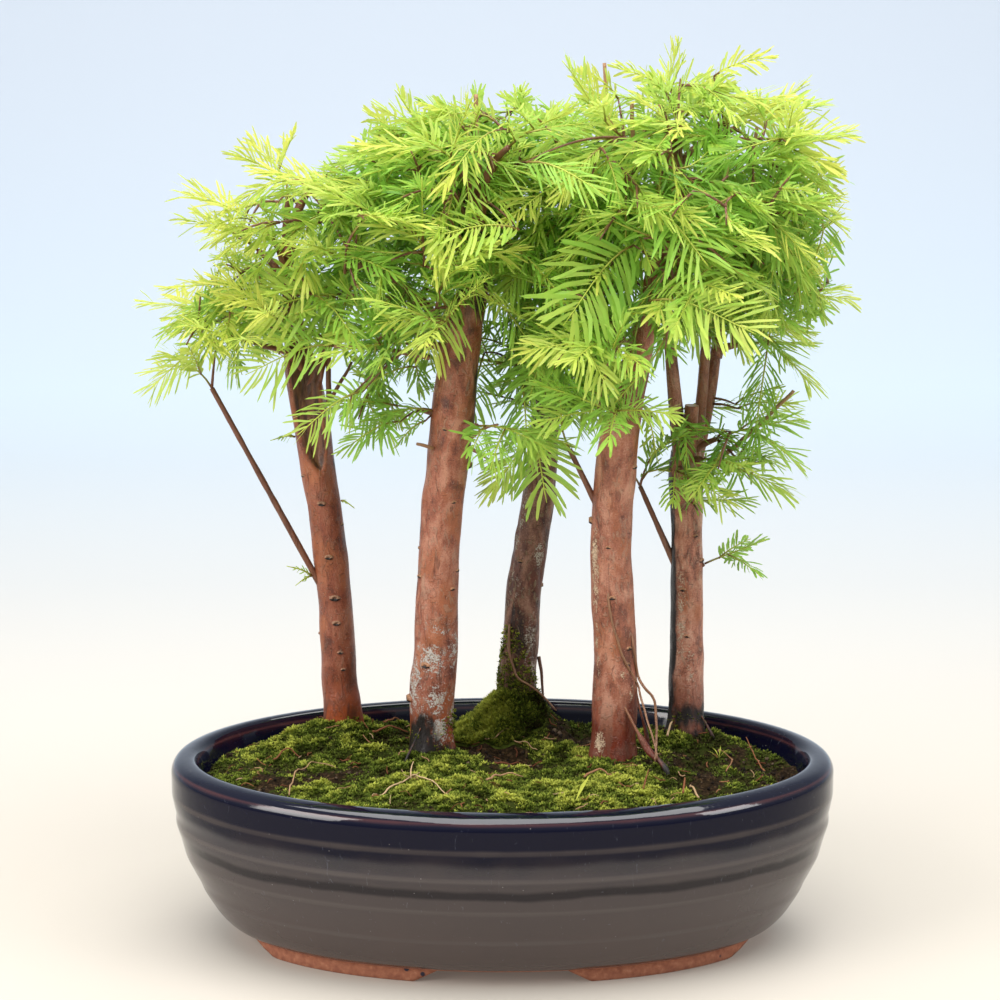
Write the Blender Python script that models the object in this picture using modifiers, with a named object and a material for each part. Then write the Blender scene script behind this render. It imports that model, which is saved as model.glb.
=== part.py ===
"""Dawn redwood forest planting: five trees, moss and soil in an oval glazed tray.

Every size below is in millimetres from the middle of the tray's underside, and main() turns the
finished pieces into metres. +Z is up, +X runs along the tray's length and -Y is its front. The finished
part's origin lies under the middle of the whole planting, on the surface that the feet stand on.
"""

import math
import random

import bmesh
import bpy
import numpy as np
from mathutils import Matrix
from mathutils.bvhtree import BVHTree

MM = 0.001
GAP = 0.3
# The middle of the whole planting, seen from the middle of the tray.
MIDDLE = (-4.0, 14.0)

# The tray is an oval whose half width is always its half length less one offset, so its profiles are
# (half width, height) points, turned and then drawn out along X.
OVAL_SEGMENTS = 32
OVAL_OFFSET = 53
OVAL_CORE = 50
# From the base up to the crest of the rim. Shallow grooves lie between soft throwing ridges.
OUTER_WALL = (
    (66.5, 6), (71.7, 9.2), (76.2, 14), (79.8, 19.5), (82.7, 24.5), (84.3, 28.5), (87.1, 34), (90.0, 40),
    (91.1, 44), (92.4, 49), (94.2, 55), (94.2, 59.5), (95.2, 64.5), (96, 70), (96, 78.5), (93.4, 83.4), (88.5, 85),
)
INNER_WALL = ((85.3, 84), (83.5, 80.5), (59, 14))
FLOOR_TOP = 14
FOOT_OUTER = 66
FOOT_INNER = 52
FOOT_TOP = 7
# The arches between the feet, as half widths at the top and the bottom of the cutting block.
FRONT_ARCH = (27, 39)
END_ARCH = (23, 35)
ARCH_HEIGHT = 6.5
ARCH_REACH = 160
DRAIN_RADIUS = 7
DRAIN_SEGMENTS = 16
DRAIN_X = 55

# The soil: its own level and the mounds and hollows in it, as (x, y, rise, spread).
SOIL_LEVEL = 77.5
SOIL_EDGE_DROP = 2.5
SOIL_PLAY = 0.6
SOIL_RINGS = 6
PLAY = 0.6
MOUNDS = (
    (-76, 44, 9, 24), (7, 54, 24, 17), (-30, 4, 5, 22), (54, -6, 4, 24), (88, 40, 5, 22),
    (14, 18, -3.5, 20), (112, 8, -3, 20), (-20, -48, 5.5, 34), (45, -50, 4.5, 26), (-95, -5, -1, 26),
)

# The moss cushion on the steepest mound: its size, and the waves in its edge by size and number.
MOSS_CENTRE = (-4, 46)
MOSS_HALF = (26, 17)
MOSS_THICKNESS = 4.0
MOSS_EDGE = 1.8
MOSS_ROUNDING = 2.2
MOSS_ROUGHNESS = 0.4
MOSS_WAVE_SIZE = (0.03, 0.10)
MOSS_WAVES = (2, 3, 5, 7)
MOSS_SEGMENTS = 18
MOSS_RINGS = 3
MOSS_SEED = 5

# The trunks, as (x, y, height, radius) from inside the soil to the tip of the leader.
TRUNKS = {
    1: ((-75, 49, 62, 8.4), (-75, 49, 92, 8.4), (-76, 50, 106, 8.1), (-78, 51, 148, 7.9),
        (-81.5, 52, 182, 7.8), (-85, 53, 207, 8.2), (-88.5, 54, 232, 8.5), (-92, 55, 252, 7.6),
        (-94.5, 57, 266, 5.0), (-97, 57, 288, 3.4), (-98, 57, 310, 2.2), (-97, 56, 330, 1.3)),
    2: ((-32, 15, 46, 9.0), (-32, 15, 82, 9.0), (-31.6, 15, 111, 10.2), (-30.3, 15, 128, 9.8),
        (-28, 15, 181, 9.2), (-23.6, 14, 222, 9.7), (-20, 14, 256, 9.2), (-17, 13, 274, 8.2),
        (-13, 12, 293, 6.2), (-11, 12, 312, 4.4), (-10.5, 12, 334, 2.6), (-11, 12, 354, 1.3)),
    3: ((7, 55, 46, 8.6), (7, 55, 104, 8.6), (8.5, 55, 122, 8.3), (9.5, 55, 142, 8.2),
        (13, 56, 165, 7.9), (16.5, 57, 189, 7.5), (19, 58, 215, 7.1), (22, 59, 248, 6.0),
        (23, 60, 273, 4.6), (22, 61, 302, 3.0), (19, 61, 334, 1.3)),
    4: ((50, 8, 46, 9.2), (50, 8, 80, 9.2), (50.7, 8, 103, 10.2), (51, 8, 123, 9.9), (49.3, 8, 155, 9.5),
        (48.5, 8, 178, 9.2), (49.4, 8, 200, 9.1), (51.5, 8, 226, 8.8), (57, 9, 252, 6.8),
        (62, 9, 275, 5.2), (67, 10, 302, 4.0), (73, 10, 330, 2.6), (77, 10, 362, 1.3)),
    5: ((86, 46, 66, 7.7), (86, 46, 86, 7.7), (85.7, 48, 107, 8.1), (85.5, 48, 130, 7.7),
        (85, 48, 163, 7.2), (84.5, 48, 187, 7.3), (84, 48, 203, 8.0), (84, 48, 214, 7.0)),
}
# Upright stems that leave a trunk's top, in the same form. The last point of a stub is a saw cut.
STEMS = {
    "5a": ((82, 46, 206, 3.6), (79, 45, 234, 3.3), (76, 44, 262, 2.7), (73, 43, 290, 1.9),
           (72, 42, 312, 1.2)),
    "5b": ((88, 48, 206, 2.9), (91, 48, 240, 2.6), (93, 48, 270, 2.1), (97, 47, 298, 1.6),
           (101, 46, 318, 1.2)),
    "5c": ((88, 51, 204, 3.3), (95, 53, 240, 2.9), (99, 55, 268, 2.3), (106, 58, 294, 1.7),
           (113, 60, 312, 1.2)),
    "5d": ((84.5, 43, 206, 3.8), (86, 42, 236, 3.2)),
    "1a": ((-88, 52, 238, 3.2), (-82, 48, 256, 2.5), (-74, 47, 276, 1.5), (-70, 47, 286, 1.1)),
}
# The hollow carved down one trunk's front, where its old leader was taken off, in the same form.
SCARRED = 1
SCAR = ((-82, 40, 205, 5.0), (-88, 44.5, 226, 6.4), (-91, 46.5, 262, 7.4))
# Surface roots that run from a trunk over the soil, in the same form.
ROOTS = {
    "4a": ((52, 0, 112, 1.2), (58, -2, 100, 1.9), (65, -6, 88, 2.1), (72, -12, 82, 1.6),
           (75, -15, 74, 1.2)),
    "4b": ((58, 4, 130, 0.9), (61, 3, 108, 1.0), (65, 3, 92, 1.1), (67, 2, 74, 1.0)),
    "2a": ((-36, 8, 96, 2.4), (-42, 2, 84, 2.0), (-47, -3, 74, 1.4)),
    "5e": ((90, 43, 94, 2.4), (97, 38, 82, 1.8), (102, 34, 72, 1.2)),
}

# Limbs as (stem, height on it, bearing in degrees from +X, run, rise, spray length, hang). A limb
# of no run is the stem's own tip, where the bearing is the way that its spray leans.
LIMBS = {
    1: (("1", 137, 190, 55, 107, 34, 0.50), ("1", 258, 181, 24, 16, 52, 0.10),
        ("1", 268, 158, 18, 36, 40, 0.16), ("1", 286, 205, 12, 28, 40, 0.16),
        ("1", 330, 150, 0, 0, 34, 0.10), ("1", 302, 12, 18, 36, 42, 0.12),
        ("1", 250, 228, 24, 14, 54, 0.30), ("1", 262, 262, 22, 12, 56, 0.40),
        ("1a", 286, 318, 0, 0, 44, 0.25), ("1", 272, 28, 18, 16, 46, 0.25)),
    2: (("2", 354, 200, 0, 0, 30, 0.05), ("2", 232, 162, 14, 6, 46, 0.35),
        ("2", 262, 212, 22, 8, 48, 0.30), ("2", 272, 258, 24, 10, 54, 0.42),
        ("2", 296, 192, 22, 30, 52, 0.20), ("2", 304, 142, 20, 38, 48, 0.20),
        ("2", 312, 246, 18, 34, 48, 0.25), ("2", 322, 318, 18, 34, 44, 0.20),
        ("2", 300, 80, 22, 40, 46, 0.15), ("2", 226, 312, 18, 8, 48, 0.50),
        ("2", 256, 188, 45, 49, 34, 0.15)),
    3: (("3", 334, 120, 0, 0, 36, 0.10), ("3", 270, 92, 20, 22, 46, 0.30),
        ("3", 258, 142, 22, 18, 50, 0.30), ("3", 282, 46, 20, 28, 48, 0.25),
        ("3", 242, 186, 16, 10, 46, 0.40), ("3", 236, 20, 12, 10, 34, 0.40),
        ("3", 300, 168, 18, 30, 48, 0.20), ("3", 306, 352, 18, 30, 46, 0.15),
        ("3", 286, 262, 14, 22, 46, 0.35), ("3", 226, 268, 12, 4, 46, 0.65)),
    4: (("4", 362, 320, 0, 0, 32, 0.05), ("4", 183, 178, 19, 39, 34, 0.10),
        ("4", 262, 246, 24, 12, 54, 0.45), ("4", 236, 262, 20, 8, 48, 0.60),
        ("4", 282, 294, 26, 16, 58, 0.35), ("4", 300, 332, 30, 26, 52, 0.20),
        ("4", 318, 352, 34, 32, 50, 0.12), ("4", 338, 26, 30, 24, 44, 0.10),
        ("4", 328, 212, 24, 32, 50, 0.20), ("4", 334, 92, 22, 32, 48, 0.20),
        ("4", 340, 268, 22, 26, 50, 0.25)),
    5: (("5a", 312, 120, 0, 0, 40, 0.10), ("5b", 318, 330, 0, 0, 48, 0.20),
        ("5c", 312, 14, 0, 0, 52, 0.15), ("5b", 276, 332, 22, 10, 50, 0.22),
        ("5c", 258, 356, 10, 4, 36, 0.25), ("5", 204, 346, 14, 16, 42, 0.15),
        ("5", 206, 300, 12, 6, 42, 0.25), ("5", 200, 252, 12, 8, 38, 0.35),
        ("5", 157, 352, 8, 4, 30, -0.15), ("5", 148, 176, 22, 49, 24, 0.10)),
}
# Each tube has 4 sides and 2 more for each step of its resolution.
TRUNK_RESOLUTION = 2
STEM_RESOLUTION = 1
LIMB_RESOLUTION = 0
LIMB_POINTS = 4
LIMB_RADIUS = (2.6, 1.2)
LIMB_BOW = 0.8
# Limbs, by tree and place in its list, that are slimmer and straighter than the rest.
SHOOTS = {(1, 0), (4, 1), (5, 8), (5, 9)}
SHOOT_RADIUS = (1.7, 1.1)
SHOOT_BOW = 0.5

# Foliage: a spray is a green shoot with its own leaflets past a bare stretch, and side fronds on that.
STATIONS = 5
SHOOT_STATIONS = 4
BARE_SHARE = 0.42
BARE_RINGS = 2
SHOOT_ROLL = 25
# How much a shoot follows its wood, and how much it leans to the limb's bearing or its stem's lean.
WOOD_PULL = 0.9
LIMB_LEAN = 0.3
TIP_LEAN = 0.75
# Side fronds, as (share of the shoot's length, side). A short spray has the last two, made smaller.
FROND_PLACES = ((0.10, 1), (0.25, -1), (0.38, 1))
SMALL_SPRAY = 42
FROND_LENGTH = 40
FROND_ANGLE = math.radians(52)
FROND_HANG = 0.3
# Ranges that each side frond's pitch and droop, in degrees, and its size are drawn from.
FROND_PITCH = (-8, 14)
FROND_DROOP = (8, 52)
FROND_SIZE = (0.85, 1.1)
ROOT_SUNK = 0.5
STEEPEST = 1.3
# Leaflets are longest in the middle of a frond, and they lean forward and hang a little.
LEAFLET = 14
LEAFLET_ARCH = (0.22, 0.62)
LEAFLET_FULLNESS = 0.8
LEAFLET_DROP = 0.16
SWEEP = math.radians(36)
RIB_WIDTH = 1.3
RIB_HEIGHT = 1.1
RIB_TAPER = 0.55
# A frond keeps its clearance from others and from wood, except near the joint that it grows from.
CLEARANCE = 2.6
REACH = 20
FROND_JOINT = 9
LIMB_JOINT = 6
WOOD_STEP = 2.5
RIB_SAMPLES = 12
SAMPLES_FROM = 0.12
LEAFLET_SAMPLES = (0.25, 0.5, 0.75, 1)
# A frond that would cross another is tried again, smaller and turned, as (yaw, pitch) in degrees.
SHRINKS = (1, 0.8)
TURNS = ((0, 0), (0, 14), (0, -14), (12, 6), (-12, 6), (10, -18), (-10, -18), (0, 28), (20, 18),
         (-20, 18), (0, -32), (24, -10), (-24, -10), (0, 42), (30, 30), (-30, 30))
DOWN = np.array((0.0, 0.0, -1.0))

BARK = ("bark", (0.24, 0.075, 0.035), 0.75)
LEAF = ("leaf", (0.28, 0.50, 0.03), 0.5)
GLAZE = ("glaze", (0.012, 0.013, 0.03), 0.12)
EARTH = ("earth", (0.035, 0.022, 0.012), 0.95)
MOSS_GREEN = ("moss", (0.09, 0.16, 0.015), 0.95)


def clear_scene():
    """Removes what the start-up file holds."""
    for obj in list(bpy.data.objects):
        bpy.data.objects.remove(obj, do_unlink=True)


def collection(name):
    """A new collection under the scene's own."""
    made = bpy.data.collections.new(name)
    bpy.context.scene.collection.children.link(made)
    return made


def material(name, colour, roughness):
    """A Principled material, made once."""
    if name in bpy.data.materials:
        return bpy.data.materials[name]
    made = bpy.data.materials.new(name)
    made.use_nodes = True
    shader = made.node_tree.nodes["Principled BSDF"]
    shader.inputs["Base Color"].default_value = (*colour, 1)
    shader.inputs["Roughness"].default_value = roughness
    return made


def new_object(name, mesh, group, finish=None):
    """Links a mesh as an object, with a material and smooth shading."""
    obj = bpy.data.objects.new(name, mesh)
    group.objects.link(obj)
    if finish:
        mesh.materials.clear()
        mesh.materials.append(material(*finish))
        mesh.shade_smooth()
        mesh.set_sharp_from_angle(angle=math.radians(50))
    return obj


def evaluated_mesh(obj):
    """A plain mesh of the object with its modifiers."""
    bpy.context.view_layer.update()
    graph = bpy.context.evaluated_depsgraph_get()
    return bpy.data.meshes.new_from_object(obj.evaluated_get(graph))


def mesh_of(bm, name):
    """Turns a bmesh into a mesh whose faces look outwards."""
    bmesh.ops.recalc_face_normals(bm, faces=bm.faces)
    if bm.calc_volume(signed=True) < 0:
        bmesh.ops.reverse_faces(bm, faces=bm.faces)
    mesh = bpy.data.meshes.new(name)
    bm.to_mesh(mesh)
    bm.free()
    return mesh


def turned_mesh(profile, segments, closed=False):
    """A profile of (radius, height) points turned about the upright axis with a Screw modifier."""
    bm = bmesh.new()
    points = [bm.verts.new((radius, 0, height)) for radius, height in profile]
    for first, second in zip(points, points[1:] + points[:1] if closed else points[1:]):
        bm.edges.new((first, second))
    outline = bpy.data.meshes.new("profile")
    bm.to_mesh(outline)
    bm.free()
    holder = new_object("profile", outline, bpy.context.scene.collection)
    screw = holder.modifiers.new("turn", "SCREW")
    screw.steps = screw.render_steps = segments
    screw.use_merge_vertices = True
    screw.merge_threshold = 0.01
    mesh = evaluated_mesh(holder)
    bpy.data.objects.remove(holder)
    bm = bmesh.new()
    bm.from_mesh(mesh)
    bmesh.ops.triangulate(bm, faces=bm.faces)
    return mesh_of(bm, "turned")


def oval_mesh(profile, closed=False):
    """A turned mesh of (half width, height) points, drawn out along X into the tray's oval."""
    mesh = turned_mesh(profile, OVAL_SEGMENTS, closed)
    for vertex in mesh.vertices:
        radius = math.hypot(vertex.co.x, vertex.co.y)
        if radius > 0.01:
            vertex.co.x += OVAL_OFFSET * min(1.0, radius / OVAL_CORE) * vertex.co.x / radius
    return mesh


def tube(points, resolution):
    """A mesh tube along points of (x, y, z, radius), with 4 + 2 * resolution sides."""
    curve = bpy.data.curves.new("tube", "CURVE")
    curve.dimensions = "3D"
    curve.bevel_depth = 1
    curve.bevel_resolution = resolution
    curve.use_fill_caps = True
    spline = curve.splines.new("POLY")
    spline.points.add(len(points) - 1)
    for point, (x, y, z, radius) in zip(spline.points, points):
        point.co = (x, y, z, 1)
        point.radius = radius
    holder = bpy.data.objects.new("tube", curve)
    bpy.context.scene.collection.objects.link(holder)
    mesh = evaluated_mesh(holder)
    bpy.data.objects.remove(holder)
    bm = bmesh.new()
    bm.from_mesh(mesh)
    bmesh.ops.remove_doubles(bm, verts=bm.verts, dist=0.01)
    return mesh_of(bm, "tube")


def combine(obj, meshes, operation):
    """Joins meshes to an object, or cuts them from it, by one applied Boolean on a collection."""
    tools = collection("tools")
    for mesh in meshes:
        new_object("tool", mesh, tools)
    boolean = obj.modifiers.new("combine", "BOOLEAN")
    boolean.operation = operation
    boolean.solver = "EXACT"
    boolean.operand_type = "COLLECTION"
    boolean.collection = tools
    mesh = evaluated_mesh(obj)
    obj.modifiers.remove(boolean)
    kept = obj.data.materials[:]
    mesh.materials.clear()
    for finish in kept:
        mesh.materials.append(finish)
    obj.data = mesh
    for tool in list(tools.objects):
        bpy.data.objects.remove(tool)
    bpy.data.collections.remove(tools)


def keep_largest_body(obj):
    """Deletes the crumbs that a Boolean leaves beside the main body."""
    bm = bmesh.new()
    bm.from_mesh(obj.data)
    unseen = set(bm.verts)
    bodies = []
    while unseen:
        body, front = set(), [unseen.pop()]
        while front:
            vertex = front.pop()
            body.add(vertex)
            reached = {edge.other_vert(vertex) for edge in vertex.link_edges} & unseen
            unseen -= reached
            front += reached
        bodies.append(body)
    bodies.sort(key=len)
    crumbs = [vertex for body in bodies[:-1] for vertex in body]
    bmesh.ops.delete(bm, geom=crumbs, context="VERTS")
    bm.to_mesh(obj.data)
    bm.free()


def arch_cutter(half_top, half_bottom, along_x):
    """A block through two facing sides of the foot ring, wider at the bottom than at the top."""
    bm = bmesh.new()
    bmesh.ops.create_cube(bm, size=1)
    for vertex in bm.verts:
        high = vertex.co.z > 0
        across = math.copysign(half_top if high else half_bottom, vertex.co.y)
        reach = math.copysign(ARCH_REACH, vertex.co.x)
        height = ARCH_HEIGHT if high else -ARCH_HEIGHT
        vertex.co = (reach, across, height) if along_x else (across, reach, height)
    return mesh_of(bm, "arch")


def drain_cutter(x):
    """A cylinder through the tray's floor."""
    bm = bmesh.new()
    radius = DRAIN_RADIUS
    bmesh.ops.create_cone(
        bm, cap_ends=True, segments=DRAIN_SEGMENTS, radius1=radius, radius2=radius, depth=4 * FLOOR_TOP
    )
    bmesh.ops.translate(bm, verts=bm.verts, vec=(x, 0, 0))
    return mesh_of(bm, "drain")


def make_tray(group):
    """The glazed oval tray, with four feet between arches and two drain holes."""
    base = OUTER_WALL[0][1]
    profile = [(0, FLOOR_TOP), *reversed(INNER_WALL), *reversed(OUTER_WALL), (0, base)]
    tray = new_object("tray", oval_mesh(profile), group, GLAZE)
    foot = [(FOOT_INNER, 0), (FOOT_INNER, FOOT_TOP), (FOOT_OUTER, FOOT_TOP), (FOOT_OUTER, 0)]
    feet = new_object("feet", oval_mesh(foot, closed=True), group)
    combine(feet, [arch_cutter(*FRONT_ARCH, False), arch_cutter(*END_ARCH, True)], "DIFFERENCE")
    combine(tray, [feet.data], "UNION")
    bpy.data.objects.remove(feet)
    combine(tray, [drain_cutter(-DRAIN_X), drain_cutter(DRAIN_X)], "DIFFERENCE")


def soil_height(x, y):
    """Height of the soil's top at a place."""
    height = SOIL_LEVEL
    for centre_x, centre_y, rise, spread in MOUNDS:
        away = ((x - centre_x) ** 2 + (y - centre_y) ** 2) / spread**2
        height += rise * math.exp(-away)
    return height


def soil_mesh(lift=0.0):
    """The soil that fills the tray, with its mounds and hollows, raised by a lift."""
    (high, high_z), (low, low_z) = INNER_WALL[-2:]
    edge_z = SOIL_LEVEL - SOIL_EDGE_DROP
    edge = low + (edge_z - low_z) * (high - low) / (high_z - low_z) - SOIL_PLAY
    rings = [(edge * i / SOIL_RINGS, SOIL_LEVEL) for i in range(SOIL_RINGS)]
    floor = FLOOR_TOP + GAP
    mesh = oval_mesh([*rings, (edge, edge_z), (low - SOIL_PLAY, floor), (0, floor)])
    for vertex in mesh.vertices:
        x, y, z = vertex.co
        if z > edge_z + 1:
            vertex.co.z = soil_height(x, y)
        vertex.co.z += lift
    return mesh


def moss_mesh(ground):
    """A bumpy cushion with a wavy edge over the ground mesh, deep enough for that to trim its underside."""
    faces = [face.vertices for face in ground.polygons]
    surface = BVHTree.FromPolygons([vertex.co for vertex in ground.vertices], faces)
    draw = random.Random(MOSS_SEED)
    waves = [(draw.uniform(*MOSS_WAVE_SIZE), number, draw.uniform(0, math.tau)) for number in MOSS_WAVES]
    rings = [(i / MOSS_RINGS, 1.0) for i in range(MOSS_RINGS + 1)]
    mesh = turned_mesh([*rings, (1.0, -1.0), (0, -1.0)], MOSS_SEGMENTS)
    for vertex in mesh.vertices:
        share = math.hypot(vertex.co.x, vertex.co.y)
        turn = math.atan2(vertex.co.y, vertex.co.x)
        edge = 1 + share * sum(size * math.sin(number * turn + phase) for size, number, phase in waves)
        x = MOSS_CENTRE[0] + edge * MOSS_HALF[0] * vertex.co.x
        y = MOSS_CENTRE[1] + edge * MOSS_HALF[1] * vertex.co.y
        place = surface.ray_cast((x, y, 2 * SOIL_LEVEL), (0, 0, -1))[0]
        swell = MOSS_EDGE + (MOSS_THICKNESS - MOSS_EDGE) * math.sqrt(max(0.0, 1 - share**MOSS_ROUNDING))
        swell += draw.uniform(-MOSS_ROUGHNESS, MOSS_ROUGHNESS)
        vertex.co = (x, y, place.z + (swell if vertex.co.z > 0 else -2 * MOSS_THICKNESS))
    return mesh


def trunk_cutters():
    """The trunks and roots with some play round them, which leave plain holes in the soil and moss."""
    cutters = []
    for lines, resolution in ((TRUNKS, TRUNK_RESOLUTION), (ROOTS, STEM_RESOLUTION)):
        for points in lines.values():
            wide = [(x, y, z, radius + PLAY) for x, y, z, radius in points[:5]]
            lowest = min(range(len(wide)), key=lambda i: wide[i][2])
            x, y, z, radius = wide[lowest]
            wide[lowest] = (x, y, z - PLAY, radius)
            cutters.append(tube(wide, resolution))
    return cutters


def make_ground(group):
    """The soil, and the moss cushion on its steepest mound."""
    soil = new_object("soil", soil_mesh(), group, EARTH)
    combine(soil, trunk_cutters(), "DIFFERENCE")
    moss = new_object("moss_mound", moss_mesh(soil_mesh()), group, MOSS_GREEN)
    combine(moss, [soil_mesh(GAP), *trunk_cutters()], "DIFFERENCE")
    keep_largest_body(moss)


def along(points, height):
    """The place and radius on a stem at a height."""
    for low, high in zip(points, points[1:]):
        if height <= high[2]:
            share = (height - low[2]) / (high[2] - low[2])
            return np.array([a + (b - a) * share for a, b in zip(low, high)])
    return np.array(points[-1], float)


def unit(vector):
    """The vector at length 1."""
    return vector / np.linalg.norm(vector)


def limb_path(tree, number):
    """The points and radii of a limb. A limb of no run is the last stretch of its stem."""
    stem, height, bearing, run, rise, _, _ = LIMBS[tree][number]
    line = TRUNKS[tree] if stem == str(tree) else STEMS[stem]
    if run == 0:
        return np.array(line[-2:], float)
    start = along(line, height)[:3]
    turn = math.radians(bearing)
    out = np.array((math.cos(turn), math.sin(turn), 0.0))
    end = start + out * run - DOWN * rise
    slim = (tree, number) in SHOOTS
    bow = SHOOT_BOW if slim else LIMB_BOW
    middle = start + out * run * (1 - bow) - DOWN * rise * bow
    thick, thin = SHOOT_RADIUS if slim else LIMB_RADIUS
    path = []
    for i in range(LIMB_POINTS):
        t = i / (LIMB_POINTS - 1)
        place = start * (1 - t) ** 2 + middle * 2 * t * (1 - t) + end * t**2
        path.append((*place, thick + (thin - thick) * t))
    return np.array(path)


class Space:
    """The places that are taken, each a point with a radius."""

    def __init__(self):
        self.points = np.zeros((0, 3))
        self.radii = np.zeros(0)

    def add(self, points, radius):
        """Takes the places round the points."""
        self.points = np.vstack((self.points, points))
        self.radii = np.concatenate((self.radii, np.broadcast_to(radius, len(points))))

    def free(self, points):
        """Whether no point is within the clearance of a taken place."""
        low, high = points.min(0) - REACH, points.max(0) + REACH
        near = ((self.points > low) & (self.points < high)).all(1)
        if not near.any():
            return True
        away = np.linalg.norm(points[:, None] - self.points[None, near], axis=2)
        return bool((away - self.radii[near] > CLEARANCE).all())


def fill_along(path):
    """Points close together along a path of (x, y, z, radius), with their radii."""
    found = []
    for low, high in zip(path, path[1:]):
        count = max(1, int(np.linalg.norm(high[:3] - low[:3]) / WOOD_STEP))
        found += [low + (high - low) * i / count for i in range(count)]
    return np.array(found + [path[-1]])


class Frond:
    """A rib with leaflets in two ranks, or a spray's own shoot, whose inner stretch is bare."""

    def __init__(self, root, start_way, way, roll, length, hang, bare=0.0):
        self.root, self.start_way, self.way = root, start_way, way
        self.length, self.hang, self.bare = length, hang, bare
        across = unit(np.cross(way, -DOWN + 0.05 * np.array((way[1], -way[0], 0))))
        self.side = across * math.cos(roll) + unit(np.cross(across, way)) * math.sin(roll)

    def place(self, t):
        """The rib's point at a share t of its length."""
        lean = (self.start_way - self.way) * t * (1 - t) ** 2
        return self.root + self.length * (self.way * t + lean + DOWN * self.hang * 0.5 * t**2)

    def direction(self, t):
        """The rib's direction at a share t of its length."""
        return unit(self.place(min(1.0, t + 0.02)) - self.place(max(0.0, t - 0.02)))

    def leaflet_tip(self, t, rank):
        """The tip of the leaflet that leaves the rib at t, on the side rank."""
        leafy = (t - self.bare) / (1 - self.bare)
        first, rest = LEAFLET_ARCH
        reach = LEAFLET * math.sin(math.pi * (first + rest * leafy)) ** LEAFLET_FULLNESS
        out = self.side * rank * math.cos(SWEEP) + self.direction(t) * math.sin(SWEEP)
        return self.place(t) + reach * out + DOWN * LEAFLET_DROP * reach

    def stations(self):
        """The shares of the length at which the leafy stretch's rings stand."""
        steps = SHOOT_STATIONS if self.bare else STATIONS
        return [self.bare + (1 - self.bare) * i / steps for i in range(steps + 1)]

    def bare_stations(self):
        """The shares at which the bare stretch's rings stand, if there is one."""
        return [self.bare * i / BARE_RINGS for i in range(BARE_RINGS)] if self.bare else []

    def on_rib(self, t):
        """A point inside the solid rib, whose stretches between rings are straight."""
        shares = self.bare_stations() + self.stations()
        low = max(share for share in shares[:-1] if share <= t)
        high = min(share for share in shares if share > t)
        part = (t - low) / (high - low)
        return self.place(low) * (1 - part) + self.place(high) * part

    def samples(self):
        """Points over the rib and leaflets, to keep other foliage clear of."""
        found = [self.place(t) for t in np.linspace(SAMPLES_FROM, 1, RIB_SAMPLES)]
        shares = self.stations()
        for low, high in zip(shares, shares[1:]):
            t = (low + high) / 2
            for rank in (1, -1):
                tip = self.leaflet_tip(t, rank)
                found += [self.place(t) + (tip - self.place(t)) * share for share in LEAFLET_SAMPLES]
        return np.array(found)

    def mesh(self):
        """A three-sided rib whose upper faces are drawn out into leaflets."""
        bm = bmesh.new()
        shares = self.bare_stations() + self.stations()
        loops = []
        for t in shares[:-1]:
            slim = 1 - RIB_TAPER * t
            upright = unit(np.cross(self.side, self.direction(t)))
            side = unit(np.cross(self.direction(t), upright))
            centre = self.place(t)
            corners = (upright * RIB_HEIGHT * 0.6, (side * RIB_WIDTH - upright * RIB_HEIGHT) * 0.5,
                       (-side * RIB_WIDTH - upright * RIB_HEIGHT) * 0.5)
            loops.append([bm.verts.new(centre + corner * slim) for corner in corners])
        tip = bm.verts.new(self.place(1.0))
        bm.faces.new(loops[0])
        drawn = []
        for index, (low, high) in enumerate(zip(loops, loops[1:])):
            for i in range(3):
                j = (i + 1) % 3
                face = bm.faces.new((low[i], low[j], high[j], high[i]))
                if i != 1 and shares[index] >= self.bare:
                    drawn.append((face, (shares[index] + shares[index + 1]) / 2))
        for i in range(3):
            bm.faces.new((loops[-1][i], loops[-1][(i + 1) % 3], tip))
        for face, t in drawn:
            middle = np.array(face.calc_center_median())
            rank = 1 if np.dot(middle - self.place(t), self.side) > 0 else -1
            poked = bmesh.ops.poke(bm, faces=[face])
            poked["verts"][0].co = self.leaflet_tip(t, rank)
        return mesh_of(bm, "frond")


def turned(way, yaw, pitch):
    """A direction turned by a yaw about the upright and a pitch above the level, in degrees."""
    bearing = math.atan2(way[1], way[0]) + math.radians(yaw)
    rise = math.asin(max(-1.0, min(1.0, way[2]))) + math.radians(pitch)
    rise = max(-STEEPEST, min(STEEPEST, rise))
    flat = math.cos(rise)
    return np.array((math.cos(bearing) * flat, math.sin(bearing) * flat, math.sin(rise)))


def side_fronds(shoot, share, rank, level, draw):
    """A side frond of a shoot in each size and turn that may be tried, as (frond, joint)."""
    joint = shoot.on_rib(share)
    open_way = shoot.direction(share) * math.cos(FROND_ANGLE) + shoot.side * rank * math.sin(FROND_ANGLE)
    pitch_draw, droop = draw.uniform(*FROND_PITCH), math.radians(draw.uniform(*FROND_DROOP))
    size = draw.uniform(*FROND_SIZE) * min(1.0, shoot.length / SMALL_SPRAY)
    options = []
    for shrink in SHRINKS:
        for yaw, pitch in TURNS:
            way = turned(unit(open_way), yaw, pitch + pitch_draw)
            outer_edge = np.sign(np.dot(np.cross(way, -DOWN), level))
            root = joint - way * ROOT_SUNK
            length = FROND_LENGTH * size * shrink
            options.append((Frond(root, way, way, -outer_edge * droop, length, FROND_HANG), joint))
    return options


def is_clear(frond, joint, shoot, space):
    """Whether a side frond is clear of its shoot past the joint and of every taken place."""
    points = frond.samples()
    away = np.linalg.norm(points[:, None] - shoot.samples()[None], axis=2).min(1)
    past = np.linalg.norm(points - joint, axis=1) > FROND_JOINT
    return space.free(points) and bool((away[past] > CLEARANCE).all())


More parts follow.
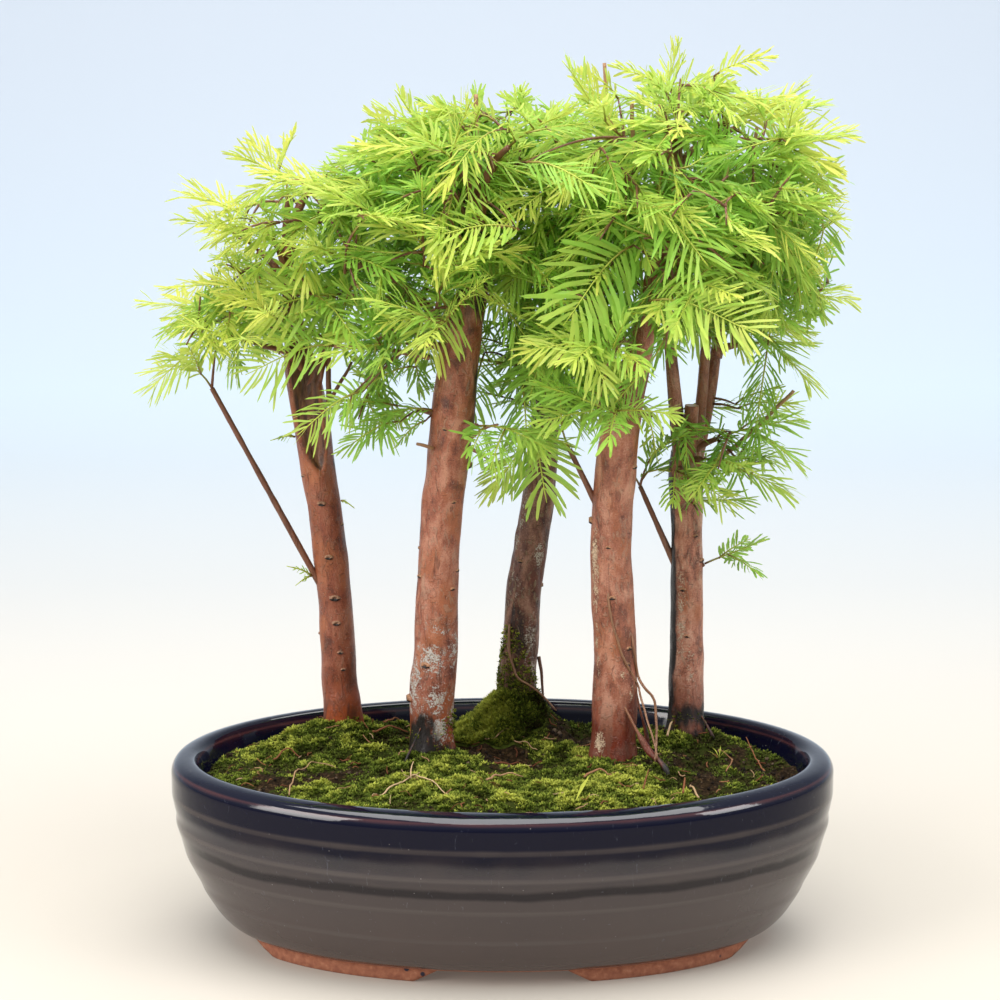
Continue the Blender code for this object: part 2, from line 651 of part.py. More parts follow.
def grow_spray(tree, number, space):
    """The fronds of the spray at a limb's tip, each turned until it is clear of the rest."""
    _, _, bearing, run, _, length, hang = LIMBS[tree][number]
    draw = random.Random(100 * tree + number)
    path = limb_path(tree, number)
    wood_way = unit(path[-1][:3] - path[-2][:3])
    root = path[-1][:3] + wood_way * GAP
    lean = math.radians(bearing)
    level = np.array((math.cos(lean), math.sin(lean), 0.0))
    way = unit(wood_way * WOOD_PULL + level * (TIP_LEAN if run == 0 else LIMB_LEAN))
    roll = math.radians(draw.uniform(-SHOOT_ROLL, SHOOT_ROLL))
    shoots = [Frond(root, wood_way, turned(way, *turn), roll, length, hang, BARE_SHARE) for turn in TURNS]
    shoot = next((option for option in shoots if space.free(option.samples())), shoots[-1])
    fronds = [shoot]
    for share, rank in FROND_PLACES if length > SMALL_SPRAY else FROND_PLACES[1:]:
        options = side_fronds(shoot, share, rank, level, draw)
        found = next((frond for frond, joint in options if is_clear(frond, joint, shoot, space)), None)
        if found:
            fronds.append(found)
            space.add(found.samples(), 0)
    space.add(shoot.samples(), 0)
    return fronds


def make_wood(tree, group):
    """One tree's trunk with its stems, roots and limbs, as one solid."""
    trunk = new_object(f"trunk_{tree}", tube(TRUNKS[tree], TRUNK_RESOLUTION), group, BARK)
    slim = [*STEMS.items(), *ROOTS.items()]
    added = [tube(points, STEM_RESOLUTION) for name, points in slim if name.startswith(str(tree))]
    for number, limb in enumerate(LIMBS[tree]):
        if limb[3]:
            added.append(tube(limb_path(tree, number), LIMB_RESOLUTION))
    combine(trunk, added, "UNION")
    if tree == SCARRED:
        combine(trunk, [tube(SCAR, TRUNK_RESOLUTION)], "DIFFERENCE")


def taken_by_wood():
    """A space that holds every trunk, stem, root and limb."""
    space = Space()
    lines = [np.array(points, float) for points in [*TRUNKS.values(), *STEMS.values(), *ROOTS.values()]]
    for tree, limbs in LIMBS.items():
        lines += [limb_path(tree, number) for number, limb in enumerate(limbs) if limb[3]]
    for line in lines:
        points = fill_along(line)
        tip = np.linalg.norm(points[:, :3] - line[-1][:3], axis=1) < LIMB_JOINT
        space.add(points[~tip][:, :3], points[~tip][:, 3])
    return space


def make_sprays(group):
    """Every spray as one solid: a shoot with its side fronds joined to it."""
    space = taken_by_wood()
    for tree, limbs in LIMBS.items():
        for number in range(len(limbs)):
            fronds = grow_spray(tree, number, space)
            spray = new_object(f"spray_{tree}_{number + 1:02d}", fronds[0].mesh(), group, LEAF)
            combine(spray, [frond.mesh() for frond in fronds[1:]], "UNION")


def main():
    """Builds the planting."""
    clear_scene()
    group = collection("dawn_redwood_forest")
    make_tray(group)
    make_ground(group)
    for tree in TRUNKS:
        make_wood(tree, group)
    make_sprays(group)
    to_metres = Matrix.Scale(MM, 4) @ Matrix.Translation((-MIDDLE[0], -MIDDLE[1], 0))
    for obj in group.objects:
        obj.data.transform(to_metres)


main()
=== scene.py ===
"""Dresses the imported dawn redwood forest: bark, foliage, soil, moss and glaze in place of its plain solids.

Sizes are in millimetres from the middle of the tray's underside, as in the part's source. placed() turns
such points into the frame's metres. +Z is up and -Y is the front.
"""

import itertools
import logging
import math
import random
from collections.abc import Sequence
from dataclasses import dataclass, field, replace
from enum import Enum
from typing import Any, ClassVar

import bpy
import numpy as np
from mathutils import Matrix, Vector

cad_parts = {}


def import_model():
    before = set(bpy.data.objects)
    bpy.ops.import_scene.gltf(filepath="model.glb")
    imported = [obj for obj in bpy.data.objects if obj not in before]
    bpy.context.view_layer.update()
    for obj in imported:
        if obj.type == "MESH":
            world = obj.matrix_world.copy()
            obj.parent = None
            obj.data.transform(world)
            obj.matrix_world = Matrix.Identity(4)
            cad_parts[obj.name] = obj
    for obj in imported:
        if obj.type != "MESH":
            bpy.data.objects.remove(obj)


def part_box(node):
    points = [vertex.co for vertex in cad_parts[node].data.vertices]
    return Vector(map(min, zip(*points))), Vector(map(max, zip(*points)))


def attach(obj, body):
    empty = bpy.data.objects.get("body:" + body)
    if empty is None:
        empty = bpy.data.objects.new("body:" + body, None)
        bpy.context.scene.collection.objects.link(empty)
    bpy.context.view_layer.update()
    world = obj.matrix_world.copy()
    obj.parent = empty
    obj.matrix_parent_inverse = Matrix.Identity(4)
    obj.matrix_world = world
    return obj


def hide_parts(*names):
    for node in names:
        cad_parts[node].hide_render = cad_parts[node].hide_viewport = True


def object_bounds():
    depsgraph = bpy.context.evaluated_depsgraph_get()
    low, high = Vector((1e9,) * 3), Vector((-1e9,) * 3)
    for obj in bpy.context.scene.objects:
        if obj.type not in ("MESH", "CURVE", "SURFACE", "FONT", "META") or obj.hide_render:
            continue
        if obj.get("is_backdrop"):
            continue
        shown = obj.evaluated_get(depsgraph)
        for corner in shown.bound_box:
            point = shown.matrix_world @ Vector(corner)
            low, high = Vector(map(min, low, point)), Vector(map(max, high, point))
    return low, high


Array = np.ndarray
Socket = bpy.types.NodeSocket
Material = bpy.types.Material
Rows = Sequence[Sequence[float]]
Triple = tuple[float, float, float]
Colour = Triple

LOG = logging.getLogger("forest")
MM = 0.001
# Where the frame's origin lies, in the tray's millimetres.
MIDDLE = np.array((-4.0, 14.0, 0.0))
DOWN = np.array((0.0, 0.0, -1.0))
UP = -DOWN
EVEN = (1, 1, 1)

# The tray's oval: its half length is its half width and this offset.
OVAL_OFFSET = 53
OVAL_CORE = 50

# The trunks, as (x, y, height, radius) from inside the soil to the tip of the leader.
TRUNKS = {
    1: ((-75, 49, 62, 8.4), (-75, 49, 92, 8.4), (-76, 50, 106, 8.1), (-78, 51, 148, 7.9),
        (-81.5, 52, 182, 7.8), (-85, 53, 207, 8.2), (-88.5, 54, 232, 8.5), (-92, 55, 252, 7.6),
        (-94.5, 57, 266, 5.0), (-97, 57, 288, 3.4), (-98, 57, 310, 2.2), (-97, 56, 330, 1.3)),
    2: ((-32, 15, 46, 9.0), (-32, 15, 82, 9.0), (-31.6, 15, 111, 10.2), (-30.3, 15, 128, 9.8),
        (-28, 15, 181, 9.2), (-23.6, 14, 222, 9.7), (-20, 14, 256, 9.2), (-17, 13, 274, 8.2),
        (-13, 12, 293, 6.2), (-11, 12, 312, 4.4), (-10.5, 12, 334, 2.6), (-11, 12, 354, 1.3)),
    3: ((7, 55, 46, 8.6), (7, 55, 104, 8.6), (8.5, 55, 122, 8.3), (9.5, 55, 142, 8.2),
        (13, 56, 165, 7.9), (16.5, 57, 189, 7.5), (19, 58, 215, 7.1), (22, 59, 248, 6.0),
        (23, 60, 273, 4.6), (22, 61, 302, 3.0), (19, 61, 334, 1.3)),
    4: ((50, 8, 46, 9.2), (50, 8, 80, 9.2), (50.7, 8, 103, 10.2), (51, 8, 123, 9.9), (49.3, 8, 155, 9.5),
        (48.5, 8, 178, 9.2), (49.4, 8, 200, 9.1), (51.5, 8, 226, 8.8), (57, 9, 252, 6.8),
        (62, 9, 275, 5.2), (67, 10, 302, 4.0), (73, 10, 330, 2.6), (77, 10, 362, 1.3)),
    5: ((86, 46, 66, 7.7), (86, 46, 86, 7.7), (85.7, 48, 107, 8.1), (85.5, 48, 130, 7.7),
        (85, 48, 163, 7.2), (84.5, 48, 187, 7.3), (84, 48, 203, 8.0), (84, 48, 214, 7.0)),
}
# Upright stems that leave a trunk's top, in the same form. The last point of a stub is a saw cut.
STEMS = {
    "5a": ((82, 46, 206, 3.6), (79, 45, 234, 3.3), (76, 44, 262, 2.7), (73, 43, 290, 1.9),
           (72, 42, 312, 1.2)),
    "5b": ((88, 48, 206, 2.9), (91, 48, 240, 2.6), (93, 48, 270, 2.1), (97, 47, 298, 1.6),
           (101, 46, 318, 1.2)),
    "5c": ((88, 51, 204, 3.3), (95, 53, 240, 2.9), (99, 55, 268, 2.3), (106, 58, 294, 1.7),
           (113, 60, 312, 1.2)),
    "5d": ((84.5, 43, 206, 3.8), (86, 42, 236, 3.2)),
    "1a": ((-88, 52, 238, 3.2), (-82, 48, 256, 2.5), (-74, 47, 276, 1.5), (-70, 47, 286, 1.1)),
}
STUB = "5d"
# Surface roots that run from a trunk over the soil, in the same form.
ROOTS = {
    "4a": ((52, 0, 112, 1.2), (58, -2, 100, 1.9), (65, -6, 88, 2.1), (72, -12, 82, 1.6),
           (75, -15, 74, 1.2)),
    "4b": ((58, 4, 130, 0.9), (61, 3, 108, 1.0), (65, 3, 92, 1.1), (67, 2, 74, 1.0)),
    "2a": ((-36, 8, 96, 2.4), (-42, 2, 84, 2.0), (-47, -3, 74, 1.4)),
    "5e": ((90, 43, 94, 2.4), (97, 38, 82, 1.8), (102, 34, 72, 1.2)),
}
# The hollow carved down the first trunk's front, in the same form.
SCAR = ((-82, 40, 205, 5.0), (-88, 44.5, 226, 6.4), (-91, 46.5, 262, 7.4))

# Limbs as (stem, height on it, bearing in degrees from +X, run, rise, spray length, hang). A limb
# of no run is the stem's own tip, where the bearing is the way that its spray leans.
LIMBS = {
    1: (("1", 137, 190, 55, 107, 34, 0.5), ("1", 258, 181, 24, 16, 52, 0.1),
        ("1", 268, 158, 18, 36, 40, 0.16), ("1", 286, 205, 12, 28, 40, 0.16),
        ("1", 330, 150, 0, 0, 34, 0.1), ("1", 302, 12, 18, 36, 42, 0.12),
        ("1", 250, 228, 24, 14, 54, 0.3), ("1", 262, 262, 22, 12, 56, 0.4),
        ("1a", 286, 318, 0, 0, 44, 0.25), ("1", 272, 28, 18, 16, 46, 0.25)),
    2: (("2", 354, 200, 0, 0, 30, 0.05), ("2", 232, 162, 14, 6, 46, 0.35),
        ("2", 262, 212, 22, 8, 48, 0.3), ("2", 272, 258, 24, 10, 54, 0.42),
        ("2", 296, 192, 22, 30, 52, 0.2), ("2", 304, 142, 20, 38, 48, 0.2),
        ("2", 312, 246, 18, 34, 48, 0.25), ("2", 322, 318, 18, 34, 44, 0.2),
        ("2", 300, 80, 22, 40, 46, 0.15), ("2", 226, 312, 18, 8, 48, 0.5),
        ("2", 256, 188, 45, 49, 34, 0.15)),
    3: (("3", 334, 120, 0, 0, 36, 0.1), ("3", 270, 92, 20, 22, 46, 0.3),
        ("3", 258, 142, 22, 18, 50, 0.3), ("3", 282, 46, 20, 28, 48, 0.25),
        ("3", 242, 186, 16, 10, 46, 0.4), ("3", 236, 20, 12, 10, 34, 0.4),
        ("3", 300, 168, 18, 30, 48, 0.2), ("3", 306, 352, 18, 30, 46, 0.15),
        ("3", 286, 262, 14, 22, 46, 0.35), ("3", 226, 268, 12, 4, 46, 0.65)),
    4: (("4", 362, 320, 0, 0, 32, 0.05), ("4", 183, 178, 19, 39, 34, 0.1),
        ("4", 262, 246, 24, 12, 54, 0.45), ("4", 236, 262, 20, 8, 48, 0.6),
        ("4", 282, 294, 26, 16, 58, 0.35), ("4", 300, 332, 30, 26, 52, 0.2),
        ("4", 318, 352, 34, 32, 50, 0.12), ("4", 338, 26, 30, 24, 44, 0.1),
        ("4", 328, 212, 24, 32, 50, 0.2), ("4", 334, 92, 22, 32, 48, 0.2),
        ("4", 340, 268, 22, 26, 50, 0.25)),
    5: (("5a", 312, 120, 0, 0, 40, 0.1), ("5b", 318, 330, 0, 0, 48, 0.2),
        ("5c", 312, 14, 0, 0, 52, 0.15), ("5b", 276, 332, 22, 10, 50, 0.22),
        ("5c", 258, 356, 10, 4, 36, 0.25), ("5", 204, 346, 14, 16, 42, 0.15),
        ("5", 206, 300, 12, 6, 42, 0.25), ("5", 200, 252, 12, 8, 38, 0.35),
        ("5", 157, 352, 8, 4, 30, -0.15), ("5", 148, 176, 22, 49, 24, 0.1)),
}
LIMB_POINTS = 4
LIMB_RADIUS = (2.6, 1.2)
LIMB_BOW = 0.8
# Limbs, by tree and place in its list, that are slimmer and straighter than the rest.
SHOOTS = {(1, 0), (4, 1), (5, 8), (5, 9)}
SHOOT_RADIUS = (1.7, 1.1)
SHOOT_BOW = 0.5
# Turns that the part tries for a frond that would cross another, as (yaw, pitch) in degrees.
TURNS = ((0, 0), (0, 14), (0, -14), (12, 6), (-12, 6), (10, -18), (-10, -18), (0, 28), (20, 18),
         (-20, 18), (0, -32), (24, -10), (-24, -10), (0, 42), (30, 30), (-30, 30))


def placed(points: Array) -> Array:
    """Turns points in the tray's millimetres into the frame's metres."""
    return (points - MIDDLE) * MM


def unit(vectors: Array) -> Array:
    """The vector, or each row of vectors, at length 1."""
    return vectors / np.linalg.norm(vectors, axis=-1, keepdims=True)


def circle(count: int) -> Array:
    """Bearings spread evenly round a circle, in radians."""
    return np.linspace(0, math.tau, count, endpoint=False)


def linked(name: str, data: bpy.types.ID) -> bpy.types.Object:
    """Adds an object with its data to the scene.

    Args:
        name: the object's name.
        data: its mesh, camera or light.

    Returns:
        The object.
    """
    made = bpy.data.objects.new(name, data)
    bpy.context.scene.collection.objects.link(made)
    return made


def smooth_step(low: float, high: float, values: Any) -> Any:
    """The share of each value's way from low to high, from 0 to 1, with a smooth start and end."""
    share = np.clip((np.asarray(values) - low) / (high - low), 0.0, 1.0)
    return share * share * (3 - 2 * share)


def bumps(points: Array, size: float, seed: int) -> Array:
    """Smooth noise at points.

    Args:
        points: rows of coordinates.
        size: how far apart its bumps lie, in the same unit.
        seed: which noise it is.

    Returns:
        One value from -1 to 1 for each row.
    """
    cell = points / size
    base = np.floor(cell).astype(np.int64)
    part = cell - base
    part = part * part * (3 - 2 * part)
    total = np.zeros(len(points))
    for corner in itertools.product((0, 1), repeat=points.shape[1]):
        weight = np.prod(np.where(np.array(corner), part, 1 - part), axis=1)
        key = (base + np.array(corner)) @ np.array((73856093, 19349663, 83492791))[: points.shape[1]]
        key = key + seed * 2654435761 & 0xFFFFFFFF
        key = (key ^ (key >> 15)) * 2246822519 & 0xFFFFFFFF
        key = (key ^ (key >> 13)) * 3266489917 & 0xFFFFFFFF
        total += weight * ((key >> 8) & 0xFFFF) / 0xFFFF
    return 2 * total - 1


class Value:
    """A shader socket that carries a number. Python's operators on it add Math nodes."""

    def __init__(self, graph: "Graph", socket: Socket) -> None:
        """Wraps a socket of a graph."""
        self.graph, self.socket = graph, socket

    def math(self, operation: str, *others: "Value | float") -> "Value":
        """The result of a Math node on this value and its further operands."""
        inputs = dict(enumerate((self, *others)))
        return Value(self.graph, self.graph.node("ShaderNodeMath", {"operation": operation}, inputs).outputs[0])

    def __add__(self, other: "Value | float") -> "Value":
        """This value and the other together."""
        return self.math("ADD", other)

    __radd__ = __add__

    def __mul__(self, other: "Value | float") -> "Value":
        """This value times the other."""
        return self.math("MULTIPLY", other)

    __rmul__ = __mul__

    def __sub__(self, other: "Value | float") -> "Value":
        """This value less the other."""
        return self.math("SUBTRACT", other)

    def __rsub__(self, other: float) -> "Value":
        """The other less this value."""
        return self * -1 + other

    def rise(self, low: float, high: float, start: float = 0.0, end: float = 1.0) -> "Value":
        """Maps this value smoothly from one range to another.

        Args:
            low: where it starts to rise.
            high: where it stops.
            start: the result at low and below.
            end: the result at high and above.

        Returns:
            The result.
        """
        inputs = {0: self, 1: low, 2: high, 3: start, 4: end}
        node = self.graph.node("ShaderNodeMapRange", {"interpolation_type": "SMOOTHSTEP"}, inputs)
        return Value(self.graph, node.outputs[0])


class Graph:
    """The nodes of one material."""

    def __init__(self, name: str) -> None:
        """Starts a material.

        Args:
            name: its name.
        """
        self.material = bpy.data.materials.new(name)
        self.material.use_nodes = True
        self.tree = self.material.node_tree
        self.tree.nodes.clear()
        self.place = self.node("ShaderNodeTexCoord").outputs["Object"]

    def node(self, kind: str, settings: dict[str, Any] | None = None, inputs: dict[Any, Any] | None = None) -> Any:
        """Adds a node.

        Args:
            kind: the node's type.
            settings: its properties, with a ramp's stops as "stops".
            inputs: values, colours, sockets or Values for its sockets, by name or place.

        Returns:
            The node.
        """
        made = self.tree.nodes.new(kind)
        for key, setting in (settings or {}).items():
            if key == "stops":
                elements = made.color_ramp.elements
                while len(elements) < len(setting):
                    elements.new(0.5)
                for element, (at, colour) in zip(elements, setting):
                    element.position, element.color = at, (*colour, 1)
            else:
                setattr(made, key, setting)
        for key, given in (inputs or {}).items():
            socket = made.inputs[key]
            given = given.socket if isinstance(given, Value) else given
            if isinstance(given, Socket):
                self.tree.links.new(given, socket)
            elif isinstance(given, tuple) and socket.type == "RGBA":
                socket.default_value = (*given, 1)
            else:
                socket.default_value = given
        return made

    def pattern(self, size: float, scale: Triple) -> dict[str, Any]:
        """The inputs of a pattern on the object's coordinates.

        Args:
            size: how large it is, in millimetres.
            scale: how much smaller it is along each axis.

        Returns:
            The inputs.
        """
        place = self.place
        if scale != EVEN:
            place = self.node("ShaderNodeMapping", None, {"Vector": place, "Scale": scale}).outputs[0]
        return {"Vector": place, "Scale": 1 / (size * MM)}

    def noise(self, size: float, detail: float = 3, scale: Triple = EVEN, distortion: float = 0) -> Value:
        """Noise from 0 to 1, with bumps a size in millimetres apart, or closer by a scale along each axis."""
        inputs = {**self.pattern(size, scale), "Detail": detail, "Distortion": distortion}
        return Value(self, self.node("ShaderNodeTexNoise", None, inputs).outputs[0])

    def cells(self, size: float, scale: Triple = EVEN) -> Value:
        """How far each place is from the middle of its cell, in cells about a size across."""
        node = self.node("ShaderNodeTexVoronoi", {"feature": "F1"}, self.pattern(size, scale))
        return Value(self, node.outputs["Distance"])

    def attribute(self, name: str) -> Value:
        """A value that the mesh carries at its points."""
        return Value(self, self.node("ShaderNodeAttribute", {"attribute_name": name}).outputs["Fac"])

    def axis(self, name: str) -> Value:
        """The place along an axis, in metres."""
        return Value(self, self.node("ShaderNodeSeparateXYZ", None, {0: self.place}).outputs[name])

    def height(self) -> Value:
        """The height above the ground, in millimetres."""
        return self.axis("Z") * (1 / MM)

    def ramp(self, value: Value, *stops: tuple[float, Colour]) -> Socket:
        """A colour for a value, from (value, colour) stops."""
        return self.node("ShaderNodeValToRGB", {"stops": stops}, {0: value}).outputs[0]

    def mix(self, share: Value | float, first: Any, second: Any) -> Socket:
        """The mix of two colours, given as such or as sockets, with a share of the second."""
        inputs = {0: share, 6: first, 7: second}
        return self.node("ShaderNodeMix", {"data_type": "RGBA"}, inputs).outputs[2]

    def bump(self, height: Value, depth: float) -> Socket:
        """A normal from a height of 0 to 1 that is a depth in millimetres."""
        return self.node("ShaderNodeBump", None, {"Height": height, "Distance": depth * MM}).outputs[0]

    def principled(self, inputs: dict[str, Any]) -> Socket:
        """A Principled shader with these sockets set."""
        return self.node("ShaderNodeBsdfPrincipled", None, inputs).outputs[0]

    def finish(self, shader: Socket) -> Material:
        """Joins the shader to the output and returns the material."""
        self.node("ShaderNodeOutputMaterial", None, {0: shader})
        return self.material


@dataclass(frozen=True)
class Foliage:
    """A leaflet's finish: translucent, and from deep green in painted shade to yellow-green at young tips and in
    painted light.
    """

    name: str = "leaf"
    deep: Colour = (0.075, 0.23, 0.02)
    middle: Colour = (0.29, 0.55, 0.07)
    fresh: Colour = (0.72, 0.665, 0.13)
    glow: Colour = (0.6, 0.81, 0.2)
    roughness: float = 0.42

    def material(self) -> Material:
        """Builds the material.

        Returns:
            The material.
        """
        graph = Graph(self.name)
        tone = graph.attribute("fresh") + graph.noise(6, 2) * 0.16 - 0.08
        colour = graph.ramp(tone, (0.0, self.deep), (0.5, self.middle), (1.0, self.fresh))
        vein = graph.attribute("along").rise(0.0, 0.25, 0.22, 0.0)
        colour = graph.mix(vein, colour, self.fresh)
        solid = graph.principled({"Base Color": colour, "Roughness": self.roughness, "IOR": 1.4})
        glow = graph.node("ShaderNodeBsdfTranslucent", None, {"Color": self.glow}).outputs[0]
        share = tone.rise(0.0, 1.0, 0.26, 0.46)
        return graph.finish(graph.node("ShaderNodeMixShader", None, {0: share, 1: solid, 2: glow}).outputs[0])


@dataclass(frozen=True)
class GreenShoot:
    """The rib that leaflets sit on: pale green at the tip and reddish where it leaves the wood."""

    name: str = "green_shoot"
    old: Colour = (0.2, 0.09, 0.03)
    young: Colour = (0.42, 0.47, 0.06)
    tip: Colour = (0.5, 0.6, 0.07)
    roughness: float = 0.5

    def material(self) -> Material:
        """Builds the material.

        Returns:
            The material.
        """
        graph = Graph(self.name)
        share = graph.attribute("along") + graph.noise(3, 2) * 0.3 - 0.15
        colour = graph.ramp(share, (0.0, self.old), (0.35, self.young), (1.0, self.tip))
        return graph.finish(graph.principled({"Base Color": colour, "Roughness": self.roughness}))


@dataclass(frozen=True)
class Bark:
    """Reddish-brown bark with grey scales, fissures, dark wet places, painted shade and pale deposits."""

    name: str
    dark: Colour
    middle: Colour
    light: Colour
    scaly: float = 0.35
    deposit: Colour = (0.56, 0.52, 0.48)
    warm: Colour = (0.4, 0.125, 0.045)
    scale: Colour = (0.38, 0.26, 0.18)
    foot: Colour = (0.33, 0.062, 0.014)
    twig: Colour = (0.15, 0.062, 0.034)
    leader: Colour = (0.46, 0.25, 0.13)
    stain: Colour = (0.012, 0.007, 0.006)
    grain: Colour = (0.05, 0.016, 0.008)
    heart: Colour = (0.19, 0.075, 0.036)
    cut: Colour = (0.43, 0.23, 0.11)
    raw: Colour = (0.75, 0.52, 0.3)
    pore: Colour = (0.52, 0.36, 0.26)
    # The heights over which the foot's tint ends.
    foot_band: tuple[float, float] = (94, 124)

    def material(self) -> Material:
        """Builds the material.

        Returns:
            The material.
        """
        graph = Graph(self.name)
        upright = (1, 1, 0.34)
        streaks = graph.noise(4.5, 5, upright, 0.9)
        patches = graph.noise(10, 4, (1, 1, 0.7), 0.8)
        fine = graph.noise(0.7, 3)
        tone = streaks * 0.42 + patches * 0.62 + fine * 0.26 - 0.15
        colour = graph.ramp(tone, (0.36, self.dark), (0.49, self.middle), (0.64, self.light))
        warm = graph.noise(15, 3, (1, 1, 0.6)).rise(0.5, 0.66, 0, 0.6)
        colour = graph.mix(warm, colour, self.warm)
        scales = graph.noise(2.6, 5, (1, 1, 0.45), 1.4).rise(0.56, 0.63)
        colour = graph.mix(scales * self.scaly, colour, self.scale)
        cracks = 1 - graph.noise(2.8, 5, (1, 1, 0.22), 1.0).rise(0.3, 0.4)
        dashes = graph.noise(2.2, 3, (0.6, 0.6, 3.6), 0.4).rise(0.66, 0.72)
        colour = graph.mix((cracks + dashes).rise(0.0, 1.0, 0, 0.6), colour, self.dark)
        pores = 1 - graph.cells(2.0, (1, 1, 1.8)).rise(0.09, 0.17)
        colour = graph.mix(pores * 0.55, colour, self.pore)
        foot = 1 - (graph.height() + patches * 12).rise(*self.foot_band)
        colour = graph.mix(foot * 0.9, colour, graph.mix(streaks.rise(0.35, 0.7), self.foot, self.dark))
        slim = 1 - graph.attribute("girth").rise(1.2, 4.5)
        colour = graph.mix(slim * 0.8, colour, self.twig)
        colour = graph.mix(graph.attribute("bare") * 0.75, colour, self.leader)
        powder = graph.noise(5.0, 6, EVEN, 1.5) * 0.75 + graph.noise(0.7, 4) * 0.55
        pale = (graph.attribute("pale") * 0.5 + powder - 1).rise(0.0, 0.16)
        colour = graph.mix(pale, colour, graph.mix(fine.rise(0.35, 0.6), self.scale, self.deposit))
        # Dark staining and painted shade: under the second trunk's crown and under the lips of twig scars.
        stain = (graph.attribute("stain") + graph.noise(4, 5, upright) * 1.5 - 1.25).rise(-0.1, 0.35)
        colour = graph.mix(stain, colour, self.stain)
        grain = graph.noise(1.8, 4, (1, 1, 0.08))
        grain = graph.ramp(grain, (0.35, self.grain), (0.65, self.heart))
        colour = graph.mix(graph.attribute("hollow").rise(0.15, 0.6), colour, grain)
        end = graph.mix(streaks, self.cut, self.raw)
        colour = graph.mix(graph.attribute("cut").rise(0.3, 0.7), colour, end)
        rough = streaks.rise(0.3, 0.7, 0.34, 0.52)
        relief = streaks * 0.4 + fine * 0.35 + scales * 0.35 + pores * 0.25 + pale * 0.3 - cracks * 0.4 - dashes * 0.3
        inputs = {"Base Color": colour, "Roughness": rough, "Normal": graph.bump(relief, 0.6)}
        return graph.finish(graph.principled(inputs))


@dataclass(frozen=True)
class Glaze:
    """Near-black blue glaze over red clay that is bare at the feet; the lower wall is browner as a painted reflection
    of the floor, the groove darker as painted shade and the ridges lighter as painted highlights.
    """

    name: str = "glaze"
    deep: Colour = (0.003, 0.0032, 0.013)
    middle: Colour = (0.034, 0.024, 0.026)
    # The lower wall's warm grey-brown is a painted reflection of the floor.
    low: Colour = (0.066, 0.044, 0.039)
    thin: Colour = (0.085, 0.03, 0.03)
    # A painted highlight for the throwing ridges.
    ridge: Colour = (0.07, 0.056, 0.052)
    # Painted shade for the groove.
    groove_shade: Colour = (0.01, 0.008, 0.011)
    speck: Colour = (0.24, 0.22, 0.22)
    scuff: Colour = (0.2, 0.22, 0.28)
    clays: tuple[Colour, ...] = ((0.27, 0.09, 0.05), (0.4, 0.15, 0.08), (0.52, 0.24, 0.14))
    drop: Colour = (0.02, 0.02, 0.04)
    bare_below: float = 7.2
    # The heights at which the quiet band under the rim and the groove below it start and end.
    band: tuple[float, float, float, float] = (61.5, 65.5, 79.0, 81.5)
    groove: tuple[float, float, float, float] = (46.5, 48.5, 50.5, 53)

    def material(self) -> Material:
        """Builds the material.

        Returns:
            The material.
        """
        graph = Graph(self.name)
        height = graph.height()
        bare = 1 - (height + graph.noise(16, 3) * 2.4 - 1.2).rise(self.bare_below - 0.5, self.bare_below + 0.3)
        cloud = graph.noise(28, 4)
        flow = height + graph.noise(34, 3) * 5 - 2.5
        band = flow.rise(*self.band[:2]) * (1 - height.rise(*self.band[2:]))
        groove = flow.rise(*self.groove[:2]) * (1 - flow.rise(*self.groove[2:])) * 0.7
        # Navy high up, warm grey-brown low down as a painted reflection of the floor.
        level = flow * 0.01 + cloud * 0.2 - 0.1
        body = graph.ramp(level, (0.05, self.low), (0.52, self.middle), (0.68, self.deep))
        # Painted shade darkens the groove.
        body = graph.mix(groove * 1.2, body, self.groove_shade)
        # Painted highlights on the throwing ridges, and a reddish line on the rim's top edge where the glaze thins.
        edge = (graph.attribute("edge") + cloud * 0.6 - 0.45).rise(0.15, 1.0)
        colour = graph.mix(edge * 0.7, body, graph.mix(height.rise(76, 80), self.ridge, self.thin))
        specks = 1 - graph.cells(7).rise(0.022, 0.045)
        colour = graph.mix(specks * 0.6, colour, self.speck)
        scuffs = graph.noise(3.0, 4, (1, 1, 0.3), 2.0).rise(0.66, 0.74)
        colour = graph.mix(scuffs * 0.16, colour, self.scuff)
        clay = graph.ramp(graph.noise(2.5, 5), *zip((0.3, 0.6, 0.8), self.clays))
        drops = 1 - graph.cells(9).rise(0.1, 0.15)
        clay = graph.mix(drops, clay, self.drop)
        colour = graph.mix(bare, colour, clay)
        smear = graph.noise(9, 4, (0.4, 0.4, 2.0), 1.0).rise(0.45, 0.8, 0.06, 0.14)
        rough = smear + bare * 0.7 + (1 - height.rise(20, 66)) * 0.12
        relief = graph.noise(9, 2) * 0.5 + graph.noise(1.2, 2) * bare
        normal = graph.bump(relief, 0.22)
        bright = graph.principled({"Base Color": colour, "Roughness": rough, "Normal": normal, "IOR": 1.56})
        quiet = graph.principled({"Base Color": colour, "Roughness": rough, "Normal": normal, "IOR": 1.2})
        slant = graph.node("ShaderNodeLayerWeight", None, {"Blend": 0.5}).outputs["Facing"]
        slant = Value(graph, slant).rise(0.55, 0.9)
        share = (band + groove) * 0.85 * (1 - slant)
        return graph.finish(graph.node("ShaderNodeMixShader", None, {0: share, 1: bright, 2: quiet}).outputs[0])


